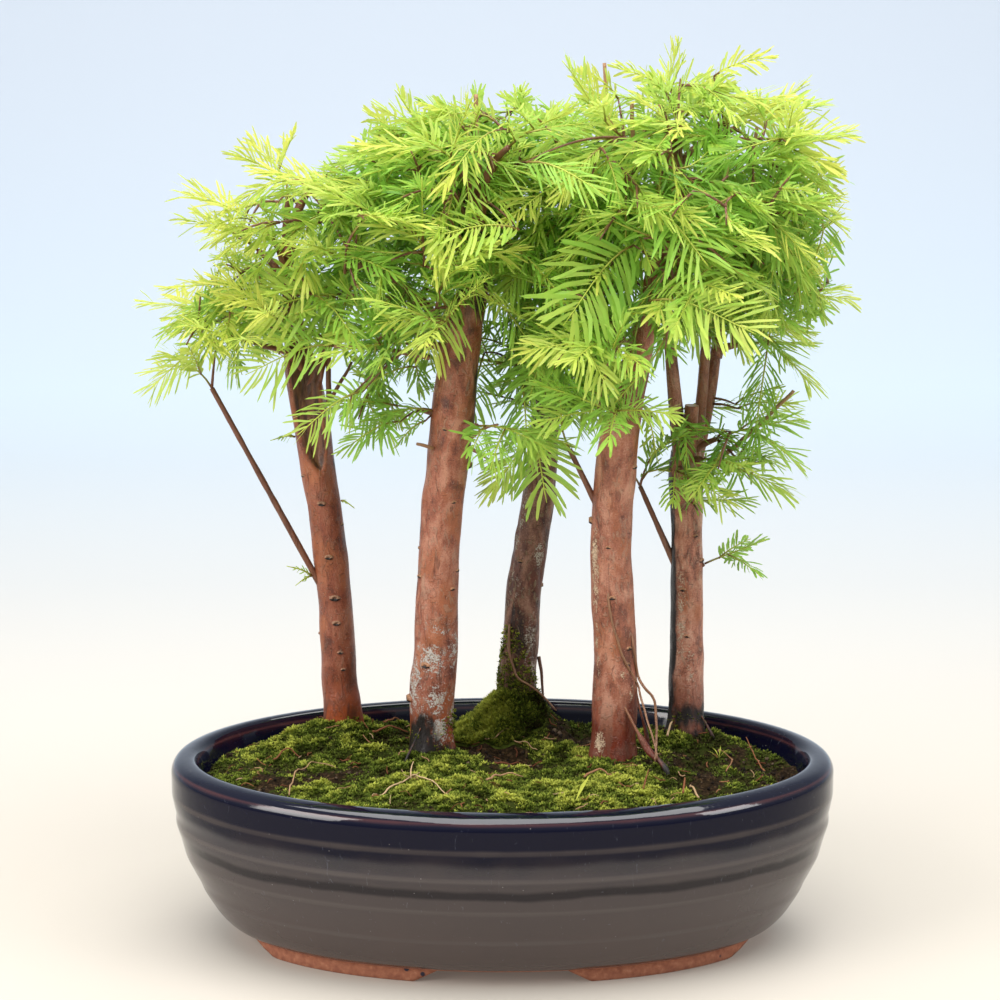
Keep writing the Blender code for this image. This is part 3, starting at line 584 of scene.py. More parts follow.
@dataclass(frozen=True)
class Earth:
    """Dark damp soil, greenish under moss and brown in patches."""

    name: str = "earth"
    dark: Colour = (0.008, 0.005, 0.003)
    middle: Colour = (0.03, 0.018, 0.009)
    light: Colour = (0.1, 0.058, 0.03)
    moss: Colour = (0.03, 0.042, 0.006)

    def material(self) -> Material:
        """Builds the material.

        Returns:
            The material.
        """
        graph = Graph(self.name)
        grain = graph.noise(1.6, 5)
        colour = graph.ramp(grain, (0.32, self.dark), (0.55, self.middle), (0.75, self.light))
        green = (graph.attribute("moss") + graph.noise(3, 4) - 0.7).rise(0.0, 0.4)
        colour = graph.mix(green * 0.8, colour, self.moss)
        inputs = {"Base Color": colour, "Roughness": 0.95, "IOR": 1.15,
                  "Normal": graph.bump(grain + graph.noise(0.6, 2) * 0.4, 0.8)}
        return graph.finish(graph.principled(inputs))


@dataclass(frozen=True)
class Tinted:
    """A matt finish whose colour follows the "tone" that its mesh carries, for moss, crumbs and litter."""

    name: str
    low: Colour
    middle: Colour
    high: Colour
    roughness: float = 0.85
    grain: float = 1.5

    def material(self) -> Material:
        """Builds the material.

        Returns:
            The material.
        """
        graph = Graph(self.name)
        grain = graph.noise(self.grain, 3)
        tone = graph.attribute("tone") + grain * 0.3 - 0.15
        colour = graph.ramp(tone, (0.0, self.low), (0.5, self.middle), (1.0, self.high))
        inputs = {"Base Color": colour, "Roughness": self.roughness, "IOR": 1.25, "Normal": graph.bump(grain, 0.2)}
        return graph.finish(graph.principled(inputs))


MOSS = Tinted("moss", (0.032, 0.023, 0.007), (0.1, 0.145, 0.014), (0.43, 0.45, 0.07), 0.8)
CRUMBS = Tinted("crumbs", (0.012, 0.008, 0.006), (0.035, 0.022, 0.014), (0.13, 0.09, 0.06), 0.95)
LITTER = Tinted("litter", (0.1, 0.028, 0.012), (0.26, 0.1, 0.045), (0.55, 0.38, 0.22), 0.7)


@dataclass
class Soup:
    """Points, faces and values gathered for one mesh."""

    points: list[Array] = field(default_factory=list)
    faces: list[Array] = field(default_factory=list)
    kinds: list[Array] = field(default_factory=list)
    values: dict[str, list[Array]] = field(default_factory=dict)
    count: int = 0

    def add(self, points: Array, *faces: Array, kind: int = 0, **values: Any) -> None:
        """Adds a shape.

        Args:
            points: its corners, in millimetres.
            faces: arrays of corner numbers, each with faces of one size.
            kind: which of the piece's materials it has.
            values: a number, or one for each point, for each named value of the mesh.
        """
        for group in faces:
            self.faces.append(group + self.count)
            self.kinds.append(np.full(len(group), kind, np.int32))
        self.points.append(points)
        for name in set(values) | set(self.values):
            if name not in self.values:
                self.values[name] = [np.zeros(self.count)] if self.count else []
            self.values[name].append(np.broadcast_to(values.get(name, 0.0), len(points)).astype(float))
        self.count += len(points)

    def piece(self, name: str, finishes: Sequence[Material], smooth: bool = True,
              replaces: Sequence[str] = ()) -> bpy.types.Object:
        """Makes the gathered shapes one piece of the scene.

        Args:
            name: the piece's name.
            finishes: its materials, in the order of the shapes' kinds.
            smooth: whether its faces are shaded smooth.
            replaces: the frame's nodes that it stands for.

        Returns:
            The piece.
        """
        mesh = bpy.data.meshes.new(name)
        points = placed(np.concatenate(self.points))
        sizes = np.concatenate([np.full(len(group), group.shape[1], np.int32) for group in self.faces])
        mesh.vertices.add(len(points))
        mesh.vertices.foreach_set("co", points.ravel())
        mesh.loops.add(int(sizes.sum()))
        mesh.loops.foreach_set("vertex_index", np.concatenate([group.ravel() for group in self.faces]).astype(np.int32))
        mesh.polygons.add(len(sizes))
        mesh.polygons.foreach_set("loop_start", np.concatenate(([0], np.cumsum(sizes)[:-1])).astype(np.int32))
        mesh.polygons.foreach_set("material_index", np.concatenate(self.kinds))
        for key, parts in self.values.items():
            values = mesh.attributes.new(key, "FLOAT", "POINT").data
            values.foreach_set("value", np.concatenate(parts).astype(np.float32))
        for finish in finishes:
            mesh.materials.append(finish)
        mesh.update(calc_edges=True)
        mesh.validate()
        if smooth:
            mesh.shade_smooth()
        made = linked(name, mesh)
        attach(made, "root")
        if replaces:
            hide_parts(*replaces)
        LOG.info("%s: %d faces, %d triangles", name, len(sizes), int((sizes - 2).sum()))
        return made


def ring_faces(rings: int, sides: int) -> Array:
    """The four-sided faces between rings of points.

    Args:
        rings: how many rings there are.
        sides: how many points each has.

    Returns:
        One row of four corners for each face.
    """
    ring, side = np.meshgrid(np.arange(rings - 1), np.arange(sides), indexing="ij")
    here, beside = ring * sides + side, ring * sides + (side + 1) % sides
    return np.stack((here, beside, beside + sides, here + sides), -1).reshape(-1, 4)


def heap_faces(rings: int, sides: int) -> tuple[Array, Array, Array]:
    """The faces of a closed heap. Its points are rings from the top out, a lower rim and two middles.

    Args:
        rings: how many rings its upper face has.
        sides: how many points each ring and the rim have.

    Returns:
        The faces between the rings, those round the upper middle and those round the lower.
    """
    here, beside = np.arange(sides), (np.arange(sides) + 1) % sides
    rim, middle = rings * sides, (rings + 1) * sides
    crown = np.stack((np.full(sides, middle), here, beside), 1)
    base = np.stack((np.full(sides, middle + 1), beside + rim, here + rim), 1)
    return ring_faces(rings + 1, sides)[:, ::-1], crown, base


def around(path: Array, sides: int) -> Array:
    """Directions that lie round a path and turn about it as little as they can.

    Args:
        path: rows of x, y, z.
        sides: how many directions there are at each.

    Returns:
        The directions at each row.
    """
    ahead = unit(np.gradient(path, axis=0))
    first = np.cross(ahead[0], (0.0, 1.0, 0.0) if abs(ahead[0][1]) < 0.8 else (1.0, 0.0, 0.0))
    across = []
    for way in ahead:
        first = first - way * np.dot(first, way)
        first = first / np.linalg.norm(first)
        across.append(first)
    firsts, turn = np.array(across)[:, None], circle(sides)[:, None]
    return firsts * np.cos(turn) + np.cross(ahead[:, None], firsts) * np.sin(turn)


def add_tube(soup: Soup, path: Array, radii: Array, sides: int, kind: int = 0, **values: Any) -> None:
    """Adds a closed tube.

    Args:
        soup: where it goes.
        path: rows of x, y, z along its middle.
        radii: one for each row.
        sides: how many sides it has.
        kind: which material it has.
        values: a number, or one for each row, for each named value.
    """
    points = (path[:, None] + around(path, sides) * radii[:, None, None]).reshape(-1, 3)
    ring = np.arange(sides)
    caps = np.array((ring[::-1], ring + (len(path) - 1) * sides))
    spread = {key: np.repeat(np.broadcast_to(value, len(path)), sides) for key, value in values.items()}
    soup.add(points, ring_faces(len(path), sides), caps, kind=kind, **spread)


def resampled(rows: Rows, step: float) -> Array:
    """A smooth path through rows of numbers, with rows a step apart.

    Args:
        rows: control points, the first three numbers of each its place.
        step: how far apart the new rows lie.

    Returns:
        The new rows.
    """
    given = np.array(rows, float)
    ends = np.vstack((2 * given[0] - given[1], given, 2 * given[-1] - given[-2]))
    found = []
    for a, b, c, d in zip(ends, ends[1:], ends[2:], ends[3:]):
        count = max(2, int(np.linalg.norm(c[:3] - b[:3]) / step))
        for t in np.arange(count) / count:
            found.append(0.5 * (2 * b + (c - a) * t + (2 * a - 5 * b + 4 * c - d) * t**2
                                + (3 * b - a - 3 * c + d) * t**3))
    return np.array([*found, given[-1]])


def along(points: Rows, height: float) -> Array:
    """The place and radius on a stem at a height.

    Args:
        points: the stem's rows of x, y, z and radius.
        height: the height.

    Returns:
        One such row.
    """
    for low, high in zip(points, points[1:]):
        if height <= high[2]:
            share = (height - low[2]) / (high[2] - low[2])
            return np.array([a + (b - a) * share for a, b in zip(low, high)])
    return np.array(points[-1], float)


def limb_path(tree: int, number: int) -> Array:
    """The path of a limb, as the part has it.

    Args:
        tree: its tree.
        number: its place in the tree's list.

    Returns:
        Rows of x, y, z and radius.
    """
    stem, height, bearing, run, rise, _, _ = LIMBS[tree][number]
    line = TRUNKS[tree] if stem == str(tree) else STEMS[stem]
    if run == 0:
        return np.array(line[-2:], float)
    start = along(line, height)[:3]
    turn = math.radians(bearing)
    out = np.array((math.cos(turn), math.sin(turn), 0.0))
    end = start + out * run + UP * rise
    slim = (tree, number) in SHOOTS
    bow = SHOOT_BOW if slim else LIMB_BOW
    middle = start + out * run * (1 - bow) + UP * rise * bow
    thick, thin = SHOOT_RADIUS if slim else LIMB_RADIUS
    path = []
    for i in range(LIMB_POINTS):
        t = i / (LIMB_POINTS - 1)
        place = start * (1 - t) ** 2 + middle * 2 * t * (1 - t) + end * t**2
        path.append((*place, thick + (thin - thick) * t))
    return np.array(path)


@dataclass
class Space:
    """The places that are taken, as the part counts them, each a point with a radius."""

    clearance: float = 2.6
    reach: float = 20
    points: Array = field(default_factory=lambda: np.zeros((0, 3)))
    radii: Array = field(default_factory=lambda: np.zeros(0))

    def add(self, points: Array, radius: Any) -> None:
        """Takes the places round the points."""
        self.points = np.vstack((self.points, points))
        self.radii = np.concatenate((self.radii, np.broadcast_to(radius, len(points))))

    def free(self, points: Array) -> bool:
        """Whether points keep clear of the places that are taken.

        Args:
            points: rows of x, y, z.

        Returns:
            Whether they all do.
        """
        low, high = points.min(0) - self.reach, points.max(0) + self.reach
        near = ((self.points > low) & (self.points < high)).all(1)
        if not near.any():
            return True
        away = np.linalg.norm(points[:, None] - self.points[None, near], axis=2)
        return bool((away - self.radii[near] > self.clearance).all())


@dataclass
class Frond:
    """A rib with leaflets in two ranks, or a spray's own shoot, whose inner stretch is bare."""

    root: Array
    start_way: Array
    way: Array
    roll: float
    length: float
    hang: float
    bare: float = 0.0
    # How young it is, raised by painted light and lowered by painted shade; it sets its leaflets' colour.
    fresh: float = 0.6
    brush: float = 0.3
    size: float = 1.0
    side: Array = field(init=False)

    # Leaflets of the part's solids, which keep them clear of each other.
    solid_leaflet: ClassVar[float] = 14
    solid_sweep: ClassVar[float] = math.radians(36)
    # Leaflets as they grow: their spacing, their length, the rib that gives it in full, and how much
    # wider those of a large frond open.
    spacing: ClassVar[float] = 2.2
    leaflet: ClassVar[float] = 15.5
    full_rib: ClassVar[float] = 36
    opening: ClassVar[float] = math.radians(14)
    # Their angle from the rib in degrees and their share of the length, each at places along the rib.
    angles: ClassVar[Rows] = ((0, 0.3, 0.75, 1), (68, 60, 46, 18))
    lengths: ClassVar[Rows] = ((0, 0.12, 0.4, 0.75, 1), (0.45, 0.78, 1.0, 0.9, 0.58))
    # Pairs of points along a leaflet, with their widths, and its faces.
    stations: ClassVar[tuple[float, ...]] = (0.13, 0.55, 0.92)
    widths: ClassVar[tuple[float, ...]] = (0.6, 1.0, 0.74)
    ladder: ClassVar[Array] = np.array(((1, 2, 4, 3), (3, 4, 6, 5)))
    ends: ClassVar[Array] = np.array(((0, 2, 1), (5, 6, 7)))

    def __post_init__(self) -> None:
        """Finds the direction of its leaflets."""
        across = unit(np.cross(self.way, UP + 0.05 * np.array((self.way[1], -self.way[0], 0))))
        self.side = across * math.cos(self.roll) + unit(np.cross(across, self.way)) * math.sin(self.roll)

    def place(self, t: Any) -> Array:
        """Finds points on the rib.

        Args:
            t: a share of its length, or several.

        Returns:
            A point, or a row for each share.
        """
        t = np.asarray(t, float)[..., None]
        lean = (self.start_way - self.way) * t * (1 - t) ** 2
        return self.root + self.length * (self.way * t + lean + DOWN * self.hang * 0.5 * t**2)

    def direction(self, t: Any) -> Array:
        """The rib's direction at a share, or at each of several shares, of its length."""
        t = np.asarray(t, float)
        return unit(self.place(np.minimum(1.0, t + 0.02)) - self.place(np.maximum(0.0, t - 0.02)))

    def solid_tip(self, t: float, rank: int) -> Array:
        """The tip of a leaflet of the part's solid.

        Args:
            t: the share of the rib at which it sits.
            rank: its side, 1 or -1.

        Returns:
            The place.
        """
        leafy = (t - self.bare) / (1 - self.bare)
        reach = self.solid_leaflet * math.sin(math.pi * (0.22 + 0.62 * leafy)) ** 0.8
        out = self.side * rank * math.cos(self.solid_sweep) + self.direction(t) * math.sin(self.solid_sweep)
        return self.place(t) + reach * out + DOWN * 0.16 * reach

    def solid_stations(self) -> list[float]:
        """The shares of the length at which the solid's leafy stretch has rings."""
        steps = 4 if self.bare else 5
        return [self.bare + (1 - self.bare) * i / steps for i in range(steps + 1)]

    def on_rib(self, t: float) -> Array:
        """A point inside the solid's rib, whose stretches between rings are straight.

        Args:
            t: the share of its length.

        Returns:
            The point.
        """
        shares = ([0.0, self.bare / 2] if self.bare else []) + self.solid_stations()
        low = max(share for share in shares[:-1] if share <= t)
        high = min(share for share in shares if share > t)
        part = (t - low) / (high - low)
        return self.place(low) * (1 - part) + self.place(high) * part

    def samples(self) -> Array:
        """Samples the solid's rib and leaflets.

        Returns:
            Rows of x, y, z.
        """
        found = list(self.place(np.linspace(0.12, 1, 12)))
        shares = self.solid_stations()
        for low, high in zip(shares, shares[1:]):
            t = (low + high) / 2
            for rank in (1, -1):
                tip = self.solid_tip(t, rank)
                found += [self.place(t) + (tip - self.place(t)) * share for share in (0.25, 0.5, 0.75, 1)]
        return np.array(found)

    def leaflets(self, seed: int) -> tuple[Array, Array]:
        """The points of its leaflets.

        Args:
            seed: which variation of them it has.

        Returns:
            The points, in rows of one leaflet each, and the share of the leafy stretch at which each sits.
        """
        draw = np.random.default_rng(seed)
        flatness = max(self.size, self.size**3)
        pairs = max(5, round(self.length * (1 - self.bare) / self.spacing / max(self.size, 1) ** 0.3))
        leafy = np.repeat((np.arange(pairs) + 0.6) / (pairs + 0.3), 2)
        count = len(leafy)
        rank = np.tile((1.0, -1.0), pairs)
        last = 1 - 4.5 / self.length
        t = np.clip(self.bare + (last - self.bare) * leafy + draw.uniform(-0.014, 0.014, count), 0, 1)
        ahead = self.direction(t)
        normal = unit(np.cross(self.side, ahead)) * (1 if np.dot(np.cross(self.side, self.way), UP) >= 0 else -1)
        side = unit(np.cross(ahead, normal))
        side *= np.sign((side * self.side).sum(1))[:, None]
        angle = np.radians(np.interp(leafy, *self.angles) * (1 - 0.42 * self.brush))
        angle += self.opening if self.size > 1 else 0.0
        angle += draw.uniform(-0.2, 0.2, count)
        lift = draw.normal(0.05 + 0.4 * self.brush, 0.24 / flatness, count)
        out = side * (rank * np.sin(angle))[:, None] + ahead * np.cos(angle)[:, None] + normal * lift[:, None]
        out = unit(out)
        length = np.interp(leafy, *self.lengths) * self.leaflet
        growth = min(1.0, self.length * max(self.size, 1) / self.full_rib)
        length *= draw.uniform(0.8, 1.1, count) * growth * self.size
        length *= draw.uniform(0.62, 1.02) if self.size <= 1 else 1.0
        shares = np.array((0.0, *self.stations, 1.0))
        bend = ahead * 0.3 + DOWN * draw.uniform(-0.05, 0.5, count)[:, None] / flatness
        bend += side * draw.normal(0, 0.13, count)[:, None]
        line = out[:, None] * shares[:, None] + bend[:, None] * shares[:, None] ** 2
        middle = self.place(t)[:, None] + length[:, None, None] * line
        turn = draw.normal(0, 0.45 / flatness, count)[:, None]
        flat = unit(np.cross(normal, out))
        rise = unit(np.cross(out, flat))
        flat = flat * np.cos(turn) + rise * np.sin(turn)
        wide = draw.uniform(1.0, 1.45) * self.size**1.3 * np.array(self.widths) * 0.5
        blade = flat[:, None] * wide[:, None]
        core = middle[:, 1:-1]
        rows = np.stack((core - blade, core + blade), 2).reshape(count, -1, 3)
        return np.concatenate((middle[:, :1], rows, middle[:, -1:]), 1), leafy

    def grow(self, soup: Soup, seed: int, box: tuple[Array, Array]) -> None:
        """Adds the rib and its leaflets to a soup.

        Args:
            soup: where they go, with leaflets of kind 0 and ribs of kind 1.
            seed: which variation of them it has.
            box: the corners that they stay between. Leaflets are shorter where they would pass them.
        """
        low, high = box
        rib = np.linspace(0, 1, 8)
        line = np.clip(self.place(rib), low + 1, high - 1)
        add_tube(soup, line, 0.5 - 0.3 * rib, 4, kind=1, along=rib, fresh=self.fresh)
        points, leafy = self.leaflets(seed)
        root = points[:, :1]
        past = np.maximum(points - high, low - points).max((1, 2), keepdims=True)
        reach = np.linalg.norm(points - root, axis=2).max(1)[:, None, None]
        points = root + (points - root) * np.clip(1 - 1.3 * np.maximum(past, 0) / reach, 0.2, 1)
        points = np.clip(points, low, high)
        count, step = points.shape[:2]
        offsets = (np.arange(count) * step)[:, None, None]
        draw = np.random.default_rng(seed + 1)
        tone = draw.uniform(-0.08, 0.08, count) + self.fresh + 0.24 * (leafy - 0.4)
        share = np.concatenate(([0.0], np.repeat(self.stations, 2), [1.0]))
        soup.add(points.reshape(-1, 3), (self.ladder + offsets).reshape(-1, 4),
                 (self.ends + offsets).reshape(-1, 3), kind=0, fresh=np.repeat(tone, step),
                 along=np.tile(share, count))


def turned(way: Array, yaw: float, pitch: float) -> Array:
    """Turns a direction.

    Args:
        way: the direction.
        yaw: how far it turns about the upright, in degrees.
        pitch: how far it rises, in degrees.

    Returns:
        The new direction.
    """
    bearing = math.atan2(way[1], way[0]) + math.radians(yaw)
    rise = math.asin(max(-1.0, min(1.0, way[2]))) + math.radians(pitch)
    rise = max(-1.3, min(1.3, rise))
    flat = math.cos(rise)
    return np.array((math.cos(bearing) * flat, math.sin(bearing) * flat, math.sin(rise)))


@dataclass
class Sprays:
    """The fronds of the part's own sprays, grown by the same rule from the same draws."""

    gap: float = 0.3
    bare_share: float = 0.42
    places: tuple[tuple[float, int], ...] = ((0.1, 1), (0.25, -1), (0.38, 1))
    small: float = 42
    frond_length: float = 40
    frond_angle: float = math.radians(52)

    def taken_by_wood(self) -> Space:
        """Takes the places of every trunk, stem, root and limb.

        Returns:
            A space that holds them.
        """
        space = Space()
        lines = [np.array(points, float) for points in [*TRUNKS.values(), *STEMS.values(), *ROOTS.values()]]
        for tree, limbs in LIMBS.items():
            lines += [limb_path(tree, number) for number, limb in enumerate(limbs) if limb[3]]
        for line in lines:
            found = []
            for low, high in zip(line, line[1:]):
                count = max(1, int(np.linalg.norm(high[:3] - low[:3]) / 2.5))
                found += [low + (high - low) * i / count for i in range(count)]
            points = np.array(found + [line[-1]])
            kept = points[np.linalg.norm(points[:, :3] - line[-1][:3], axis=1) >= 6]
            space.add(kept[:, :3], kept[:, 3])
        return space

    def side_fronds(self, shoot: Frond, share: float, rank: int, level: Array,
                    draw: random.Random) -> list[tuple[Frond, Array]]:
        """A side frond of a shoot in each size and turn that may be tried.

        Args:
            shoot: the spray's shoot.
            share: where on it the frond leaves.
            rank: on which side, 1 or -1.
            level: the way that the spray leans, on the level.
            draw: where its variation comes from.

        Returns:
            Fronds, each with its joint.
        """
        joint = shoot.on_rib(share)
        open_way = shoot.direction(share) * math.cos(self.frond_angle) + shoot.side * rank * math.sin(self.frond_angle)
        pitch_draw, droop = draw.uniform(-8, 14), math.radians(draw.uniform(8, 52))
        size = draw.uniform(0.85, 1.1) * min(1.0, shoot.length / self.small)
        options = []
        for shrink in (1, 0.8):
            for yaw, pitch in TURNS:
                way = turned(unit(open_way), yaw, pitch + pitch_draw)
                outer_edge = np.sign(np.dot(np.cross(way, UP), level))
                length = self.frond_length * size * shrink
                options.append((Frond(joint - way * 0.5, way, way, -outer_edge * droop, length, 0.3), joint))
        return options

    def spray(self, tree: int, number: int, space: Space) -> list[Frond]:
        """Grows the spray at a limb's tip, each frond turned until it is clear of the rest.

        Args:
            tree: the limb's tree.
            number: its place in the tree's list.
            space: the places that are taken, which grow.

        Returns:
            The spray's fronds.
        """
        _, _, bearing, run, _, length, hang = LIMBS[tree][number]
        draw = random.Random(100 * tree + number)
        path = limb_path(tree, number)
        wood_way = unit(path[-1][:3] - path[-2][:3])
        root = path[-1][:3] + wood_way * self.gap
        lean = math.radians(bearing)
        level = np.array((math.cos(lean), math.sin(lean), 0.0))
        way = unit(wood_way * 0.9 + level * (0.75 if run == 0 else 0.3))
        roll = math.radians(draw.uniform(-25, 25))
        shoots = [Frond(root, wood_way, turned(way, *turn), roll, length, hang, self.bare_share) for turn in TURNS]
        shoot = next((option for option in shoots if space.free(option.samples())), shoots[-1])
        fronds = [shoot]
        own = shoot.samples()
        for share, rank in self.places if length > self.small else self.places[1:]:
            for frond, joint in self.side_fronds(shoot, share, rank, level, draw):
                points = frond.samples()
                away = np.linalg.norm(points[:, None] - own[None], axis=2).min(1)
                past = np.linalg.norm(points - joint, axis=1) > 9
                if space.free(points) and (away[past] > space.clearance).all():
                    fronds.append(frond)
                    space.add(points, 0)
                    break
        space.add(own, 0)
        return fronds

    def all(self) -> dict[int, list[Frond]]:
        """Grows the fronds of every spray.

        Returns:
            The fronds, by tree.
        """
        space = self.taken_by_wood()
        return {tree: [frond for number in range(len(limbs)) for frond in self.spray(tree, number, space)]
                for tree, limbs in LIMBS.items()}


@dataclass(frozen=True)
class Pad:
    """An egg-shaped part of the crown, in which shoots and their fronds end."""

    middle: Triple
    half: Triple
    shoots: int

    def depth(self, points: Array) -> Array:
        """How far out points lie, from 0 in its middle to 1 on its surface."""
        return np.linalg.norm((points - np.array(self.middle)) / np.array(self.half), axis=-1)


@dataclass(frozen=True)
class Bold:
    """A frond that stands out from the crown, from its root to its tip."""

    root: Triple
    tip: Triple
    roll: float
    size: float
    fresh: float

    def frond(self) -> Frond:
        """Makes the frond.

        Returns:
            The frond.
        """
        span = np.array(self.tip, float) - self.root
        length = float(np.linalg.norm(span))
        way = unit(span / length + UP * 0.12)
        roll = -math.copysign(math.radians(self.roll), span[0])
        return Frond(np.array(self.root, float), unit(way + UP * 0.4), way, roll, length, 0.24, fresh=self.fresh,
                     brush=0.55 if self.size < 1 or self.fresh > 0.8 else 0.1, size=self.size)


@dataclass
class Crown:
    """The foliage of all five trees: the part's own sprays and the finer shoots between them."""

    pads: dict[int, tuple[Pad, ...]]
    clear: tuple[tuple[float, float, float, float, float], ...]
    standing_out: dict[int, tuple[Bold, ...]]
    box: tuple[Array, Array]
    sprays: Sprays = field(default_factory=Sprays)
    # How far apart fronds and twigs lie, how far the crown stays inside the box, how far out in their
    # pads most fronds and the other ones reach, and the share of those.
    apart: float = 3.4
    twigs_apart: float = 8.0
    margin: float = 3
    reach: float = 0.86
    far_reach: float = 1.06
    far_share: float = 0.22
    # The lowest wood that carries twigs, by tree.
    leafy_from: tuple[float, ...] = (222, 222, 222, 222, 176)
    twigs: dict[int, list[Array]] = field(default_factory=dict)

    def depth(self, point: Array) -> float:
        """How far out in the whole crown a point lies, 1 on its surface."""
        return min(float(pad.depth(point)) for pads in self.pads.values() for pad in pads)

    def hides_trunk(self, points: Array) -> bool:
        """Whether points lie before a stretch of trunk that shows.

        Args:
            points: rows of x, y, z.

        Returns:
            Whether one does.
        """
        for left, right, back, low, high in self.clear:
            x, y, z = points.T
            if ((x > left) & (x < right) & (y < back) & (z > low) & (z < high)).any():
                return True
        return False

    def fits(self, frond: Frond, limit: float) -> bool:
        """Whether a frond stays in the crown, in the frame's box and off the trunks that show.

        Args:
            frond: the frond.
            limit: how far out in the crown its tip may lie, 1 on the crown's surface.

        Returns:
            Whether it does.
        """
        points = frond.samples()
        low, high = self.box
        inside = (points > low + self.margin).all() and (points < high - self.margin).all()
        return inside and self.depth(frond.place(1.0)) < limit and not self.hides_trunk(points)

    def branchlet(self, tip: Array, wood: Array) -> Array:
        """A slim twig from the nearest wood to a tip.

        Args:
            tip: where it ends.
            wood: places on the tree's wood.

        Returns:
            Rows of x, y, z along it.
        """
        start = wood[np.linalg.norm(wood - tip, axis=1).argmin()]
        span = np.linalg.norm(tip - start)
        bend = start + (tip - start) * 0.45 + UP * span * 0.14
        t = np.linspace(0, 1, max(5, int(span / 4)))[:, None]
        return start * (1 - t) ** 2 + bend * 2 * t * (1 - t) + tip * t**2

    def fronds_on(self, path: Array, height: float, draw: random.Random) -> list[Frond]:
        """Fronds that leave a branchlet by turns on its two sides, and one at its tip.

        Args:
            path: rows of x, y, z along the branchlet.
            height: how high it ends in its pad, from -1 to 1.
            draw: where its variation comes from.

        Returns:
            The fronds.
        """
        found = []
        span = np.linalg.norm(np.diff(path, axis=0), axis=1).sum()
        ahead = unit(np.gradient(path, axis=0))
        tilt = np.array((draw.uniform(-0.5, 0.5), draw.uniform(-0.5, 0.5), 1.0))
        rank = draw.choice((1, -1))
        at = min(span, draw.uniform(3, 8) + max(0.0, span - 42))
        while at < span - 3:
            index = min(len(path) - 1, int(at / span * (len(path) - 1)))
            way = ahead[index]
            side = unit(np.cross(way, tilt)) * rank
            out = unit(way * math.cos(0.95) + side * math.sin(0.95))
            found.append((path[index], way, turned(out, draw.uniform(-14, 14), draw.gauss(14 * height - 4, 11))))
            rank = -rank
            at += draw.uniform(5.5, 8.0)
        last = turned(ahead[-1], draw.uniform(-10, 10), draw.gauss(12 * height - 4, 9))
        found.append((path[-1], ahead[-1], last))
        fronds = []
        for root, start_way, way in found:
            length, hang = draw.uniform(32, 50), max(0.02, draw.gauss(0.3 - 0.16 * height, 0.12))
            roll = math.radians(draw.gauss(0, 30))
            brush = min(1.0, max(0.0, draw.gauss(0.35 + 0.3 * height, 0.25)))
            fronds.append(Frond(root, start_way, way, roll, length, hang, brush=brush))
        return fronds

    def fill(self, tree: int, fronds: list[Frond], bold: list[Frond], draw: random.Random) -> None:
        """Adds shoots to a tree until its pads are full.

        Args:
            tree: its number.
            fronds: its fronds so far, which grow in number.
            bold: its fronds that stand out, which get a twig and are kept clear.
            draw: where its variation comes from.
        """
        stems = (points for name, points in STEMS.items() if name.startswith(str(tree)) and name != STUB)
        lines = [TRUNKS[tree], *stems]
        wood = np.concatenate([resampled(line, 3)[:, :3] for line in lines])
        wood = wood[wood[:, 2] > self.leafy_from[tree - 1]]
        limbs = [resampled(limb_path(tree, n), 3)[:, :3] for n, limb in enumerate(LIMBS[tree]) if limb[3]]
        wood = np.concatenate((wood, *limbs))
        self.twigs[tree] = [self.branchlet(frond.root, wood) for frond in bold if frond.size > 0.7]
        middles = [frond.place(0.5) for frond in (*fronds, *bold)]
        for pad in self.pads[tree]:
            tips = []
            for _ in range(pad.shoots * 14):
                spot = np.array([draw.gauss(0, 1) for _ in range(3)])
                spot = unit(spot) * draw.uniform(0.25, 0.8) ** 0.6 * np.array(pad.half) + np.array(pad.middle)
                clear = all(np.linalg.norm(spot - other) > self.twigs_apart for other in tips)
                if clear and len(tips) < pad.shoots:
                    tips.append(spot)
            tips.sort(key=lambda spot: float(np.linalg.norm(wood - spot, axis=1).min()))
            for tip in tips:
                path = self.branchlet(tip, wood)
                if self.hides_trunk(path[len(path) // 2:]):
                    continue
                added = 0
                height = (tip[2] - pad.middle[2]) / pad.half[2]
                for frond in self.fronds_on(path, height, draw):
                    if any(np.linalg.norm(middle - frond.place(0.5)) < self.apart for middle in middles):
                        continue
                    limit = self.far_reach if draw.random() < self.far_share else self.reach
                    if not self.fits(frond, limit):
                        frond = replace(frond, length=frond.length * 0.66)
                        if not self.fits(frond, limit):
                            continue
                    fronds.append(frond)
                    middles.append(frond.place(0.5))
                    added += 1
                if added:
                    self.twigs[tree].append(path)
                    wood = np.concatenate((wood, path[1:]))

    def grow(self) -> dict[int, list[Frond]]:
        """Grows all the fronds, lighter the further out, higher and further left they are: younger growth at the top,
        painted shade deep in the crown and painted light on its left.

        Returns:
            The fronds, by tree.
        """
        fronds = self.sprays.all()
        for tree, own in fronds.items():
            draw = random.Random(900 + tree)
            bold = [row.frond() for row in self.standing_out[tree]]
            self.fill(tree, own, bold, draw)
            for frond in own:
                # Painted shade deep in the crown, younger growth and painted light towards the top, and painted light
                # on its left.
                outer = smooth_step(0.45, 0.98, self.depth(frond.place(0.9)))
                high = smooth_step(210, 370, frond.place(0.9)[2])
                left = smooth_step(-60, -130, frond.place(0.9)[0])
                frond.fresh = float(0.04 + 0.46 * outer + 0.3 * high + 0.36 * left + draw.uniform(-0.16, 0.18))
                frond.brush = max(frond.brush, 0.9 * float(outer * high))
            own += bold
        return fronds

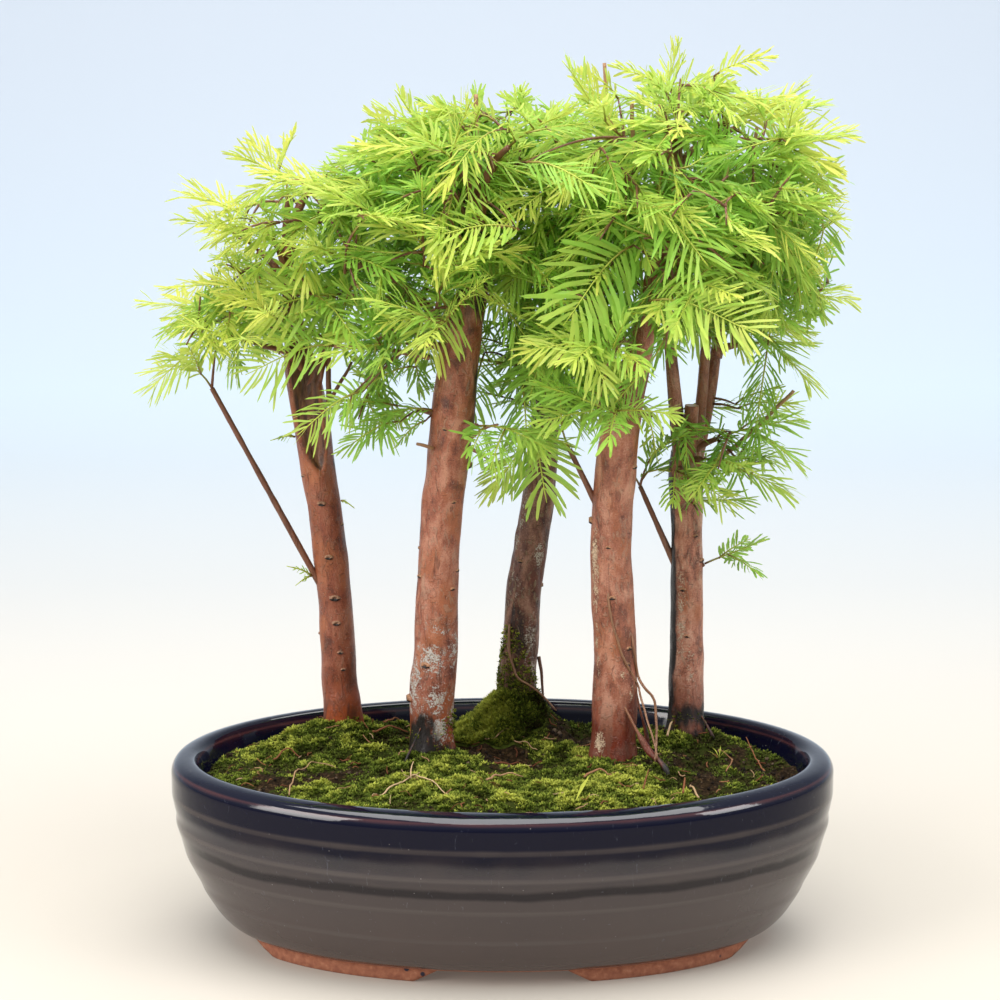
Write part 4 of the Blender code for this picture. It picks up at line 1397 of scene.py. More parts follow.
    def dress(self, leaf: Material, shoot: Material) -> None:
        """Builds one piece of foliage for each tree.

        Args:
            leaf: the leaflets' material.
            shoot: the ribs' material.
        """
        for tree, fronds in self.grow().items():
            soup = Soup()
            for number, frond in enumerate(fronds):
                frond.grow(soup, 10000 * tree + 10 * number, self.box)
            nodes = [f"spray_{tree}_{number + 1:02d}" for number in range(len(LIMBS[tree]))]
            soup.piece(f"foliage_{tree}", (leaf, shoot), smooth=False, replaces=nodes)
            LOG.info("tree %d has %d fronds", tree, len(fronds))


PADS = {
    1: (Pad((-112, 50, 272), (48, 58, 34), 36), Pad((-95, 50, 308), (44, 56, 44), 35)),
    2: (Pad((-38, 10, 322), (52, 64, 57), 122), Pad((-45, 4, 258), (36, 46, 38), 28)),
    3: (Pad((16, 60, 325), (54, 60, 55), 100), Pad((18, 52, 242), (32, 40, 48), 42),
        Pad((-6, 40, 350), (46, 50, 30), 38)),
    4: (Pad((84, 8, 336), (70, 74, 56), 170), Pad((48, -6, 270), (40, 46, 44), 52)),
    5: (Pad((112, 50, 292), (50, 60, 42), 106), Pad((94, 45, 212), (38, 40, 32), 30)),
}
# Fronds that stand out, by tree: root, tip, roll in degrees, size and freshness, which carries painted light and shade
# too.
BOLD = {
    1: (Bold((-73, 20, 288), (-108, 16, 282), 62, 1.35, 0.72), Bold((-74, 10, 268), (-112, 6, 256), 60, 1.2, 0.62),
        Bold((-70, 20, 332), (-113, 30, 345), 30, 1.0, 0.95), Bold((-101, 40, 311), (-135, 40, 319), 30, 1.0, 0.9),
        Bold((-102, 40, 286), (-156, 45, 289), 20, 1.0, 0.85), Bold((-129, 40, 265), (-160, 40, 243), 55, 1.0, 0.7),
        Bold((-116, 45, 284), (-156, 50, 267), 40, 0.9, 0.5), Bold((-95, 50, 220), (-106, 46, 219), 40, 0.6, 0.45),
        Bold((-74, 46, 191), (-68, 44, 188), 40, 0.55, 0.6), Bold((-88, 48, 155), (-100, 44, 161), 50, 0.6, 0.55),
        Bold((-88, 48, 155), (-95, 42, 152), 50, 0.5, 0.55)),
    2: (Bold((-21, -10, 291), (-32, -24, 269), 50, 1.2, 0.7), Bold((-43, 10, 357), (-62, 5, 373), 65, 1.0, 0.85),
        Bold((7, -25, 323), (-32, -40, 321), 35, 1.25, 0.7), Bold((-89, 20, 340), (-123, 25, 326), 35, 0.9, 0.8),
        Bold((-20, 5, 367), (-38, 0, 376), 40, 0.9, 0.9), Bold((-38, 2, 260), (-66, -4, 248), 50, 0.8, 0.45),
        Bold((-61, -4, 250), (-88, -6, 232), 50, 1.05, 0.6), Bold((-66, -4, 248), (-67, -4, 233), 50, 0.9, 0.5),
        Bold((-31, 10, 239), (-62, 4, 235), 40, 0.9, 0.4), Bold((-45, 6, 235), (-71, 2, 222), 50, 0.95, 0.45),
        Bold((-34, 8, 235), (-48, 4, 223), 50, 0.8, 0.35)),
    3: (Bold((9, 20, 249), (11, 12, 222), 60, 1.25, 0.45), Bold((13, 20, 228), (19, 14, 200), 60, 1.25, 0.55),
        Bold((26, 25, 273), (10, 15, 250), 60, 1.2, 0.4), Bold((-8, 30, 262), (-14, 20, 236), 50, 1.1, 0.35)),
    4: (Bold((56, -20, 316), (28, -36, 286), 66, 1.45, 0.55), Bold((45, -16, 277), (44, -28, 254), 64, 1.35, 0.72),
        Bold((62, -35, 294), (104, -62, 284), 40, 1.35, 0.66), Bold((64, -35, 332), (84, -50, 312), 50, 1.2, 0.45),
        Bold((10, -30, 352), (42, -45, 340), 40, 1.0, 0.5), Bold((20, 10, 268), (12, 0, 246), 60, 1.1, 0.4),
        Bold((92, 20, 385), (121, 15, 395), 50, 0.95, 0.95), Bold((94, 15, 364), (125, 10, 371), 50, 1.0, 0.95),
        Bold((115, 20, 353), (155, 20, 360), 40, 0.9, 0.9), Bold((125, 20, 334), (152, 20, 345), 50, 0.95, 0.85),
        Bold((114, 20, 323), (149, 15, 330), 40, 0.95, 0.85), Bold((73, 15, 379), (80, 12, 397), 30, 0.9, 0.85),
        Bold((50, 10, 376), (33, 5, 391), 50, 0.95, 0.95), Bold((70, 10, 380), (44, 5, 391), 40, 0.9, 0.85)),
    5: (Bold((124, 45, 281), (159, 45, 290), 35, 0.9, 0.8), Bold((108, 40, 298), (143, 40, 295), 30, 1.0, 0.7),
        Bold((111, 40, 274), (141, 40, 268), 35, 0.95, 0.65), Bold((107, 45, 234), (135, 45, 236), 35, 0.75, 0.75),
        Bold((106, 45, 236), (130, 45, 245), 30, 0.75, 0.75)),
}
# Stretches of trunk that show, as (left, right, back, low, high): fronds stay out from before them.
CLEAR = ((-104, -66, 52, 150, 258), (-42, -4, 14, 100, 262), (2, 36, 52, 100, 226), (36, 66, 8, 100, 222),
         (74, 98, 42, 100, 186), (68, 100, 42, 236, 262))


@dataclass
class Trunk:
    """One tree's trunk, stems, limbs and twigs, with their relief, scars, dark staining and painted shade."""

    number: int
    finish: Bark
    knots: Rows = ()
    deposits: Rows = ()
    stains_and_shade: Rows = ()
    fissures: float = 0.35
    leaders: tuple[tuple[Rows, float], ...] = ()
    flare: float = 1.6
    sides: int = 50
    step: float = 1.4
    ground: float = 82.0

    def painted(self, spots: Rows, turn: Array, height: Array) -> Array:
        """The strength of staining, painted shade or a deposit.

        Args:
            spots: rows of its bearing in degrees, height, half width in degrees, half height and strength.
            turn: the bearing of each point, in radians.
            height: the height of each point.

        Returns:
            One strength for each point.
        """
        found = np.zeros(len(turn))
        for bearing, level, spread, tall, strength in spots:
            off = np.degrees(np.angle(np.exp(1j * (turn - math.radians(bearing)))))
            found = np.maximum(found, strength * np.exp(-((off / spread) ** 2) - ((height - level) / tall) ** 2))
        return found

    def bole(self, soup: Soup, line: Rows, sides: int, relief: float) -> None:
        """Adds a trunk or stem with bark relief.

        Args:
            soup: where it goes.
            line: rows of x, y, z and radius.
            sides: how many sides it has.
            relief: how deep its fissures are.
        """
        rows = resampled(line, self.step)
        path, radii = rows[:, :3], np.maximum(rows[:, 3], 0.5)
        flat = around(path, sides).reshape(-1, 3)
        bearing = np.arctan2(flat[:, 1], flat[:, 0])
        radius = np.repeat(radii, sides)
        middle = np.repeat(path, sides, axis=0)
        height = middle[:, 2]
        spot = flat * radius[:, None] + middle
        grain = bumps(spot * (1, 1, 0.13), 1.5, 3 + self.number)
        knobs = bumps(spot * (1, 1, 0.6), 7.0, 13 + self.number)
        thick = smooth_step(1.5, 6.0, radius)
        swell = relief * thick * (0.5 * grain - 0.9 * np.clip(-grain - 0.15, 0, 1)) + 0.45 * thick * knobs
        lobes = 1 + 0.5 * np.sin(3 * bearing + self.number) + 0.3 * np.sin(5 * bearing + 2 * self.number)
        swell += self.flare * thick * lobes * np.exp(-np.clip(height - self.ground, 0, None) / 9)
        deposit = self.painted(self.deposits, bearing, height)
        points = middle + flat * (radius + swell)[:, None]
        # Staining and painted shade, and darker still at the damp foot.
        stain = self.painted(self.stains_and_shade, bearing, height)
        stain += 0.35 * np.exp(-np.clip(height - 78, 0, None) / 5) * thick
        hollow = np.zeros(len(points))
        if self.number == 1:
            points, hollow = self.carved(points, flat)
        ring = np.arange(sides)
        soup.add(points, ring_faces(len(path), sides), ring[::-1][None], girth=radius, pale=deposit, stain=stain,
                 hollow=hollow)
        soup.add(points[-sides:], ring[None], girth=6.0, cut=1.0)
        for side, level, size in self.knots if sides == self.sides else ():
            off = np.abs(np.angle(np.exp(1j * (bearing - math.radians(side))))) * radius
            nearest = (off**2 + (height - level) ** 2).argmin()
            self.scar(soup, points[nearest], flat[nearest], size)

    def scar(self, soup: Soup, middle: Array, outward: Array, size: float) -> None:
        """Adds the scar of a lost twig: a low ring, pale above as a painted highlight and dark below as painted shade.

        Args:
            soup: where it goes.
            middle: its place on the bark.
            outward: the way that the bark faces there.
            size: half its width.
        """
        sides = 14
        turn = circle(sides)
        across, up = unit(np.cross(UP, outward)), np.sin(turn)
        flat = across * np.cos(turn)[:, None] + UP * 0.62 * up[:, None]
        rings = ((1.25, -0.3), (0.95, 0.1), (0.7, 0.42), (0.45, 0.3), (0.18, 0.02))
        points = np.concatenate([middle + outward * size * rise + flat * size * share for share, rise in rings])
        ring = np.arange(sides) + sides * (len(rings) - 1)
        lip = np.repeat([share < 1 for share, _ in rings], sides)
        above = np.tile(up, len(rings))
        # Painted highlight on the lip's upper half and painted shade under it.
        soup.add(points, ring_faces(len(rings), sides), ring[None], girth=6.0, bare=0.9 * lip * (above > -0.2),
                 stain=1.05 * lip * (above <= -0.2))

    def carved(self, points: Array, outward: Array) -> tuple[Array, Array]:
        """Sinks the hollow into the first trunk's front.

        Args:
            points: the trunk's points.
            outward: the direction from its middle at each.

        Returns:
            The points, and how deep in the hollow each lies, from 0 to 1.
        """
        axis = resampled(SCAR, 2.0)
        away = np.linalg.norm(points[:, None] - axis[None, :, :3], axis=2)
        nearest = away.argmin(1)
        off = away[np.arange(len(points)), nearest]
        radius = axis[nearest, 3]
        depth = np.sqrt(np.clip(radius**2 - off**2, 0, None))
        lip = np.exp(-((off - radius * 1.12) / 1.1) ** 2)
        front = smooth_step(0.0, 0.5, -outward[:, 1])
        grooves = 0.5 * bumps(points * (1, 1, 0.1), 1.3, 77)
        points = points + outward * ((lip * 0.8 - depth * (0.62 + 0.1 * grooves)) * front)[:, None]
        return points, front * smooth_step(0.0, 2.5, depth)

    def build(self, twigs: Sequence[Array]) -> bpy.types.Object:
        """Builds the tree's wood as one piece.

        Args:
            twigs: paths of the slim twigs in its crown.

        Returns:
            The piece.
        """
        soup = Soup()
        self.bole(soup, TRUNKS[self.number], self.sides, self.fissures)
        for name, line in STEMS.items():
            if name.startswith(str(self.number)):
                self.bole(soup, line, 16, self.fissures * 0.6)
        for name, line in ROOTS.items():
            if name.startswith(str(self.number)):
                rows = resampled(line, 1.5)
                slim = {4: 0.8, 2: 0.34}.get(self.number, 0.5)
                share = np.linspace(0, 1, len(rows))
                wave = 1 + 0.3 * bumps(rows[:, :3], 4.0, 9)
                rows[:, 3] *= slim * np.interp(share, (0, 0.35, 0.6, 1), (0.3, 0.45, 1, 0.9)) * wave
                add_tube(soup, rows[:, :3], rows[:, 3], 10, girth=6.0, bare=slim - share * 1.4,
                         stain=share + 0.75 - slim)
        for number, limb in enumerate(LIMBS[self.number]):
            if limb[3]:
                rows = resampled(limb_path(self.number, number), 2.0)
                collar = 1 + 0.5 * np.exp(-np.arange(len(rows)) / 2.5)
                wave = 1 + 0.1 * bumps(rows[:, :3], 5.0, 31)
                add_tube(soup, rows[:, :3], rows[:, 3] * collar * wave, 10, girth=rows[:, 3] * 1.3)
        for path in twigs:
            radii = np.linspace(0.75, 0.35, len(path))
            add_tube(soup, path, radii, 5, girth=radii)
        for line, bare in self.leaders:
            rows = resampled(line, 1.6)
            rows[:, :3] += 0.35 * np.stack([bumps(rows[:, :3], 6.0, 90 + axis) for axis in range(3)], 1)
            add_tube(soup, rows[:, :3], rows[:, 3], 8, girth=rows[:, 3], bare=bare)
        return soup.piece(f"trunk_{self.number}", (self.finish.material(),), replaces=(f"trunk_{self.number}",))


@dataclass
class Ground:
    """The soil with its moss, crumbs, litter and rootlets."""

    level: float = 77.5
    edge_drop: float = 2.5
    edge: float = 82.2
    floor: float = 14.3
    low_edge: float = 58.4
    # How many places are drawn for tufts of moss, those of the cushion, crumbs and bits of litter.
    tufts: int = 46000
    cushion_tufts: int = 5200
    grains: int = 2600
    twigs: int = 150
    # Mounds and hollows, as (x, y, rise, half width), and lumps all over, as (rise, size, seed).
    mounds: Rows = ((-76, 44, 9, 24), (7, 54, 24, 17), (-30, 4, 5, 22), (54, -6, 4, 24), (88, 40, 5, 22),
                    (14, 18, -3.5, 20), (28, 24, 3.5, 10), (112, 8, -3, 20), (-20, -48, 5.5, 34),
                    (45, -50, 4.5, 26), (-95, -5, -1, 26))
    lumps: Rows = ((1.9, 9.0, 21), (1.1, 3.6, 22), (0.35, 1.7, 23))
    # Moss cover, as (x, y, half length, half width, strength): negative where soil shows.
    patches: Rows = ((-20, -45, 60, 22, 0.9), (42, -48, 34, 20, 1.0), (-75, 20, 40, 26, 0.55),
                     (-84, 46, 22, 16, 0.7), (-30, -8, 24, 18, 0.6), (54, -22, 22, 18, 0.5),
                     (92, 30, 18, 16, 0.45), (7, 50, 24, 16, 0.9), (0, 18, 20, 13, -1.5),
                     (27, 20, 20, 9, 0.9), (118, 0, 20, 20, -0.45), (-78, -14, 20, 10, -0.5),
                     (30, 45, 14, 12, -0.5))
    # Blades of grass, as (x, y, bearing, length, width).
    blades: Rows = ((31, -64, 63, 15, 1.9), (99, 16, 80, 7, 0.6), (99, 16, 120, 6, 0.6), (99, 16, 30, 6, 0.6),
                    (98, 15, 160, 5, 0.5), (100, 17, 0, 5, 0.5))
    # Moss on the trunks, as (tree, bearing, its spread, lowest height, rise, tufts).
    climbs: Rows = ((3, -130, 40, 96, 36, 700), (3, -60, 30, 96, 14, 180), (2, -20, 28, 80, 22, 240),
                    (2, -160, 22, 80, 12, 150), (2, -90, 40, 79, 6, 120), (4, -20, 30, 80, 8, 90),
                    (5, -90, 60, 84, 8, 150), (1, -90, 60, 84, 7, 130))
    # Rootlets and bare twigs, as a path of (x, y, height above the soil), a radius and a tone.
    rootlets: tuple[tuple[Rows, float, float], ...] = (
        (((-93, -42, -1), (-93, -30, 1), (-91, -14, 2), (-84, -2, 2), (-74, -2, -1)), 0.6, 0.75),
        (((-53, -48, 0), (-47, -41, 1.5), (-41, -36, 2), (-32, -44, 1.5), (-23, -57, 0)), 0.7, 1.0),
        (((-40, -40, 2), (-40, -37, 5), (-39, -34, 8)), 0.6, 1.1),
        (((-40, -38, 2), (-43, -41, 5)), 0.4, 1.1),
        (((-40, -38, 2), (-36, -41, 4)), 0.4, 1.1),
        (((-7, -38, 1), (1, -29, 1.5), (9, -26, 1)), 0.9, 0.7),
        (((36, -30, 0.5), (43, -23, 1.5), (48, -32, 0.5)), 0.9, 0.6),
        (((61, -49, 0), (63, -35, 2), (65, -20, 1)), 0.7, 0.35),
        (((85, -49, 0), (82, -39, 2.5), (83, -30, 1)), 0.8, 0.85),
        (((76, 30, 1), (78, 38, 3), (81, 46, 4)), 1.0, 1.1),
        (((-56, 58, 0), (-50, 66, 1.5), (-45, 70, 2)), 0.8, 0.5),
        (((-8, 28, 1), (-2, 31, 2.5), (4, 34, 2), (10, 31, 1)), 0.6, 0.75),
        (((5, 30, 1), (12, 26, 1.5), (16, 20, 2)), 0.5, 0.8),
        (((-4, 4, 0), (3, 4, 1), (9, 10, 1.5)), 0.9, 0.15),
        (((78, -52, 3), (79, -46, 5), (80, -36, 2)), 0.8, 0.4),
        (((104, -58, 0), (103, -48, 2), (107, -40, 3)), 0.8, 0.75),
        (((34, 20, 0), (40, 26, 2), (48, 30, 2), (58, 24, 0)), 0.5, 0.55),
        (((100, -10, 1), (104, 2, 4), (102, 12, 3), (100, 20, 1)), 0.5, 0.6),
        (((118, -2, 0), (116, 12, 3), (112, 26, 5)), 0.6, 0.5),
        (((122, -22, 0.5), (132, -18, 1.2), (118, -30, 0.5)), 0.7, 0.3),
        (((-60, 36, 1), (-52, 42, 3), (-44, 46, 2)), 0.9, 0.35),
        (((-104, 10, 0), (-98, 16, 1.5), (-92, 14, 0)), 0.8, 0.3),
    )

    def surface(self, x: Any, y: Any) -> Array:
        """The height of the soil with its lumps.

        Args:
            x: one place or several.
            y: the same.

        Returns:
            One height for each.
        """
        x, y = np.atleast_1d(x, y)
        height = np.full(len(x), self.level)
        for centre_x, centre_y, rise, spread in self.mounds:
            height += rise * np.exp(-((x - centre_x) ** 2 + (y - centre_y) ** 2) / spread**2)
        flat = np.stack((x, y), 1)
        height += sum(rise * bumps(flat, size, seed) for rise, size, seed in self.lumps)
        return height - self.edge_drop * smooth_step(0.86, 1.0, self.spread(x, y))

    def spread(self, x: Any, y: Any) -> Any:
        """How far out places lie, 1 at the tray's wall."""
        return np.hypot(x / (self.edge + OVAL_OFFSET), y / self.edge)

    def cover(self, x: Array, y: Array) -> Array:
        """How much moss there is.

        Args:
            x: the places.
            y: the same.

        Returns:
            One share from 0 to 1 for each.
        """
        found = np.full(len(x), 0.46)
        for centre_x, centre_y, long, wide, strength in self.patches:
            found += strength * np.exp(-((x - centre_x) / long) ** 2 - ((y - centre_y) / wide) ** 2)
        flat = np.stack((x, y), 1)
        found += 0.4 * bumps(flat, 13.0, 41) + 0.28 * bumps(flat, 5.0, 42)
        return np.clip(found, 0, 1)

    def drawn_places(self, count: int, draw: np.random.Generator) -> tuple[Array, Array]:
        """Draws places evenly over the oval.

        Args:
            count: how many.
            draw: where they come from.

        Returns:
            Their x and their y.
        """
        turn = draw.uniform(0, math.tau, count)
        share = np.sqrt(draw.uniform(0, 1, count)) * 0.985
        return (self.edge + OVAL_OFFSET) * share * np.cos(turn), self.edge * share * np.sin(turn)

    def clear_of_trunks(self, x: Any, y: Any) -> Any:
        """Which places lie outside every trunk."""
        feet = [line[1] for line in TRUNKS.values()]
        return np.all([np.hypot(x - foot[0], y - foot[1]) > foot[3] + 0.5 for foot in feet], axis=0)

    def soil(self) -> None:
        """Builds the soil."""
        rings, segments = 96, 220
        share = np.linspace(0, 1, rings + 1)[1:]
        turn = circle(segments)
        x = ((self.edge + OVAL_OFFSET) * share[:, None] * np.cos(turn)).ravel()
        y = (self.edge * share[:, None] * np.sin(turn)).ravel()
        top = np.stack((x, y, self.surface(x, y)), 1)
        centre = np.array(((0, 0, self.surface(0, 0)[0]), (0, 0, self.floor)))
        low = np.stack(((self.low_edge + OVAL_OFFSET) * np.cos(turn), self.low_edge * np.sin(turn),
                        np.full(segments, self.floor)), 1)
        moss = np.concatenate((self.cover(x, y), np.zeros(segments + 2)))
        soup = Soup()
        soup.add(np.concatenate((top, low, centre)), *heap_faces(rings, segments), moss=moss)
        soup.piece("soil", (Earth().material(),), replaces=("soil",))

    def sprigs(self, soup: Soup, spots: Array, tone: Array, size: Array,
               draw: np.random.Generator) -> None:
        """Adds tufts of moss.

        Args:
            soup: where they go.
            spots: where each stands, as rows of x, y, z.
            tone: the colour of each, from 0 to 1.
            size: the height of each.
            draw: where their variation comes from.
        """
        leaves, count = 5, len(spots)
        turn = draw.uniform(0, math.tau, (count, 1)) + np.arange(leaves) * 2.4
        turn = turn + draw.uniform(-0.3, 0.3, (count, leaves))
        lean = draw.uniform(0.25, 1.15, (count, leaves))
        length = size[:, None] * draw.uniform(0.7, 1.2, (count, leaves))
        out = np.stack((np.cos(turn) * np.sin(lean), np.sin(turn) * np.sin(lean), np.cos(lean)), -1)
        across = np.stack((-np.sin(turn), np.cos(turn), np.zeros_like(turn)), -1)
        root = (spots + DOWN * 0.3)[:, None] + across * 0.1
        waist = root + out * (length * 0.45)[..., None]
        tip = root + out * length[..., None] + DOWN * (length * 0.12)[..., None]
        wide = across * (0.19 * size)[:, None, None]
        points = np.stack((root, waist - wide, tip, waist + wide), 2).reshape(-1, 3)
        faces = np.arange(len(points)).reshape(-1, 4)
        shade = np.stack((tone - 0.35, tone, tone + 0.22, tone), 1)
        shade = np.repeat(shade[:, None], leaves, axis=1).reshape(-1)
        soup.add(points, faces, tone=shade)

    def moss(self, finish: Material) -> None:
        """Builds the moss that grows on the soil, with its blades of grass.

        Args:
            finish: its material.
        """
        draw = np.random.default_rng(71)
        x, y = self.drawn_places(self.tufts, draw)
        cover = self.cover(x, y)
        kept = (draw.uniform(0.2, 1.25, len(x)) < cover) & self.clear_of_trunks(x, y)
        x, y, cover = x[kept], y[kept], cover[kept]
        flat = np.stack((x, y), 1)
        bright = smooth_step(-15, -55, y) * smooth_step(-85, -20, x) * 0.14 + smooth_step(-45, -100, x) * 0.1
        tone = 0.13 + 0.24 * cover + 0.46 * bumps(flat, 9.0, 21) + 0.34 * bumps(flat, 3.6, 22) + bright
        # One tuft in twenty is paler, as a painted highlight.
        tone += draw.uniform(-0.16, 0.16, len(x)) + 0.4 * (draw.uniform(0, 1, len(x)) > 0.95)
        size = 1.1 + 1.0 * cover + draw.uniform(-0.3, 0.6, len(x))
        soup = Soup()
        self.sprigs(soup, np.stack((x, y, self.surface(x, y)), 1), tone, size, draw)
        for root_x, root_y, bearing, length, wide in self.blades:
            way = np.array((math.cos(math.radians(bearing)), math.sin(math.radians(bearing)), 0.55))
            root = np.array((root_x, root_y, self.surface(root_x, root_y)[0] + 0.5))
            waist, side = root + way * length * 0.5 + UP, np.array((-way[1], way[0], 0)) * wide / 2
            blade = np.array((root, waist - side, root + way * length, waist + side))
            soup.add(blade, np.array(((0, 1, 2, 3),)), tone=0.95)
        soup.piece("moss_carpet", (finish,), smooth=False)

    def mound(self, finish: Material) -> None:
        """Builds the moss cushion on the steep mound at the third trunk.

        Args:
            finish: its material.
        """
        draw = np.random.default_rng(72)
        low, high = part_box("moss_mound")
        centre = np.array(((low.x + high.x) / 2, (low.y + high.y) / 2)) / MM + MIDDLE[:2]
        half = np.array((high.x - low.x, high.y - low.y)) / MM / 2
        rings, segments = 22, 70
        share = np.linspace(0, 1, rings + 1)[1:]
        turn = circle(segments)
        x = (centre[0] + half[0] * 0.96 * share[:, None] * np.cos(turn)).ravel()
        y = (centre[1] + half[1] * 0.96 * share[:, None] * np.sin(turn)).ravel()
        reach = np.repeat(share, segments)
        swell = 0.5 + 3.2 * np.sqrt(np.clip(1 - reach**2.2, 0, 1))
        z = self.surface(x, y) + swell + 0.5 * bumps(np.stack((x, y), 1), 3.0, 61) * (1 - reach)
        under = self.surface(x[-segments:], y[-segments:]) - 1.0
        rim = np.stack((x[-segments:], y[-segments:], under), 1)
        tip = np.array(((*centre, self.surface(*centre[:, None])[0] + 3.7), (*centre, under.min())))
        soup = Soup()
        points = np.concatenate((np.stack((x, y, z), 1), rim, tip))
        soup.add(points, *heap_faces(rings, segments), tone=0.3)
        angle = draw.uniform(0, math.tau, self.cushion_tufts)
        far = np.sqrt(draw.uniform(0, 1, self.cushion_tufts)) * 0.95
        x, y = centre[0] + half[0] * far * np.cos(angle), centre[1] + half[1] * far * np.sin(angle)
        kept = self.clear_of_trunks(x, y)
        x, y, far = x[kept], y[kept], far[kept]
        z = self.surface(x, y) + 0.4 + 3.2 * np.sqrt(np.clip(1 - far**2.2, 0, 1))
        tone = 0.5 + 0.4 * bumps(np.stack((x, y), 1), 6.0, 62) + draw.uniform(-0.35, 0.35, len(x))
        # Painted shade darkens the cushion's right side, and its front edge is darker.
        tone += 0.38 - 0.62 * smooth_step(6, 16, x - centre[0]) - 0.2 * far**2 * (y < centre[1])
        self.sprigs(soup, np.stack((x, y, z), 1), tone, draw.uniform(1.7, 3.4, len(x)), draw)
        soup.piece("moss_mound", (finish,), smooth=False, replaces=("moss_mound",))

    def climbing(self, finish: Material) -> None:
        """Builds the moss that climbs the feet of the trunks.

        Args:
            finish: its material.
        """
        draw = np.random.default_rng(75)
        soup = Soup()
        for tree, bearing, spread, low, rise, count in self.climbs:
            turn = np.radians(draw.normal(bearing, spread, count))
            z = low + rise * draw.uniform(0, 1, count) ** 1.8 * np.exp(-(((turn - math.radians(bearing)) / 1.6) ** 2))
            x, y, _, radius = (np.interp(z, *np.array(TRUNKS[tree], float)[:, (2, axis)].T) for axis in range(4))
            x, y = x + (radius + 0.5) * np.cos(turn), y + (radius + 0.5) * np.sin(turn)
            tone, size = draw.uniform(0.25, 1.1, count), draw.uniform(1.0, 2.0, count)
            self.sprigs(soup, np.stack((x, y, z), 1), tone, size, draw)
        soup.piece("moss_on_trunks", (finish,), smooth=False)

    def crumbs(self) -> None:
        """Builds loose crumbs of soil and grit."""
        draw = np.random.default_rng(73)
        x, y = self.drawn_places(self.grains, draw)
        kept = (self.cover(x, y) < draw.uniform(0.2, 0.9, len(x))) & self.clear_of_trunks(x, y)
        x, y = x[kept], y[kept]
        size = 0.35 + 1.1 * draw.uniform(0, 1, len(x)) ** 3
        corners = np.array(((1, 1, 1), (1, -1, -1), (-1, 1, -1), (-1, -1, 1), (1.2, 0, 0), (-1.2, 0, 0), (0, 1.2, 0),
                            (0, -1.2, 0), (0, 0, 1.2), (0, 0, -1.2)), float)
        faces = np.array(((0, 8, 4), (0, 4, 6), (0, 6, 8), (1, 4, 7), (1, 9, 4), (1, 7, 9), (2, 6, 9), (2, 5, 6),
                          (2, 9, 5), (3, 5, 7), (3, 8, 5), (3, 7, 8), (4, 8, 7), (8, 6, 5), (4, 9, 6), (5, 9, 7)))
        shape = corners * draw.uniform(0.6, 1.25, (len(x), 10, 3)) * (size * 0.62)[:, None, None]
        place = np.stack((x, y, self.surface(x, y) + size * 0.3), 1)
        points = (shape + place[:, None]).reshape(-1, 3)
        offsets = (np.arange(len(x)) * 10)[:, None, None]
        soup = Soup()
        soup.add(points, (faces + offsets).reshape(-1, 3), tone=np.repeat(draw.uniform(0, 1, len(x)) ** 2, 10))
        soup.piece("soil_crumbs", (CRUMBS.material(),), smooth=False)

    def laid(self, spots: Rows, lift: float) -> Array:
        """Lays a path over the soil.

        Args:
            spots: rows of x, y and height above the soil that it passes through.
            lift: how much higher the whole path lies.

        Returns:
            The path's points.
        """
        rows = resampled(spots, 1.5)
        rows[:, 2] = self.surface(rows[:, 0], rows[:, 1]) + rows[:, 2] + lift
        return rows

    def litter(self) -> None:
        """Builds rootlets and dead twigs that lie on the soil and moss."""
        draw = random.Random(74)
        soup = Soup()
        for spots, radius, tone in self.rootlets:
            rows = self.laid(spots, 1.2)
            radii = radius * (0.62 - 0.3 * np.linspace(0, 1, len(rows)))
            add_tube(soup, rows, radii, 6, tone=tone)
        for _ in range(self.twigs):
            share, turn = math.sqrt(draw.random()) * 0.95, draw.uniform(0, math.tau)
            x, y = (self.edge + OVAL_OFFSET) * share * math.cos(turn), self.edge * share * math.sin(turn)
            if not self.clear_of_trunks(x, y):
                continue
            bearing, length = draw.uniform(0, math.tau), draw.uniform(2, 7)
            way = np.array((math.cos(bearing), math.sin(bearing)))
            bow = np.array((-way[1], way[0])) * draw.uniform(-1.2, 1.2)
            spots = [(x, y, 0.0), (x + way[0] * length / 2 + bow[0], y + way[1] * length / 2 + bow[1], 0.5),
                     (x + way[0] * length, y + way[1] * length, draw.uniform(-0.4, 1.0))]
            if self.spread(*spots[2][:2]) > 0.97:
                continue
            rows = self.laid(spots, draw.uniform(0.8, 1.8))
            radii = np.full(len(rows), draw.uniform(0.12, 0.3))
            add_tube(soup, rows, radii, 4, tone=draw.uniform(0.0, 1.0) ** 1.6)
        soup.piece("rootlets_and_litter", (LITTER.material(),))


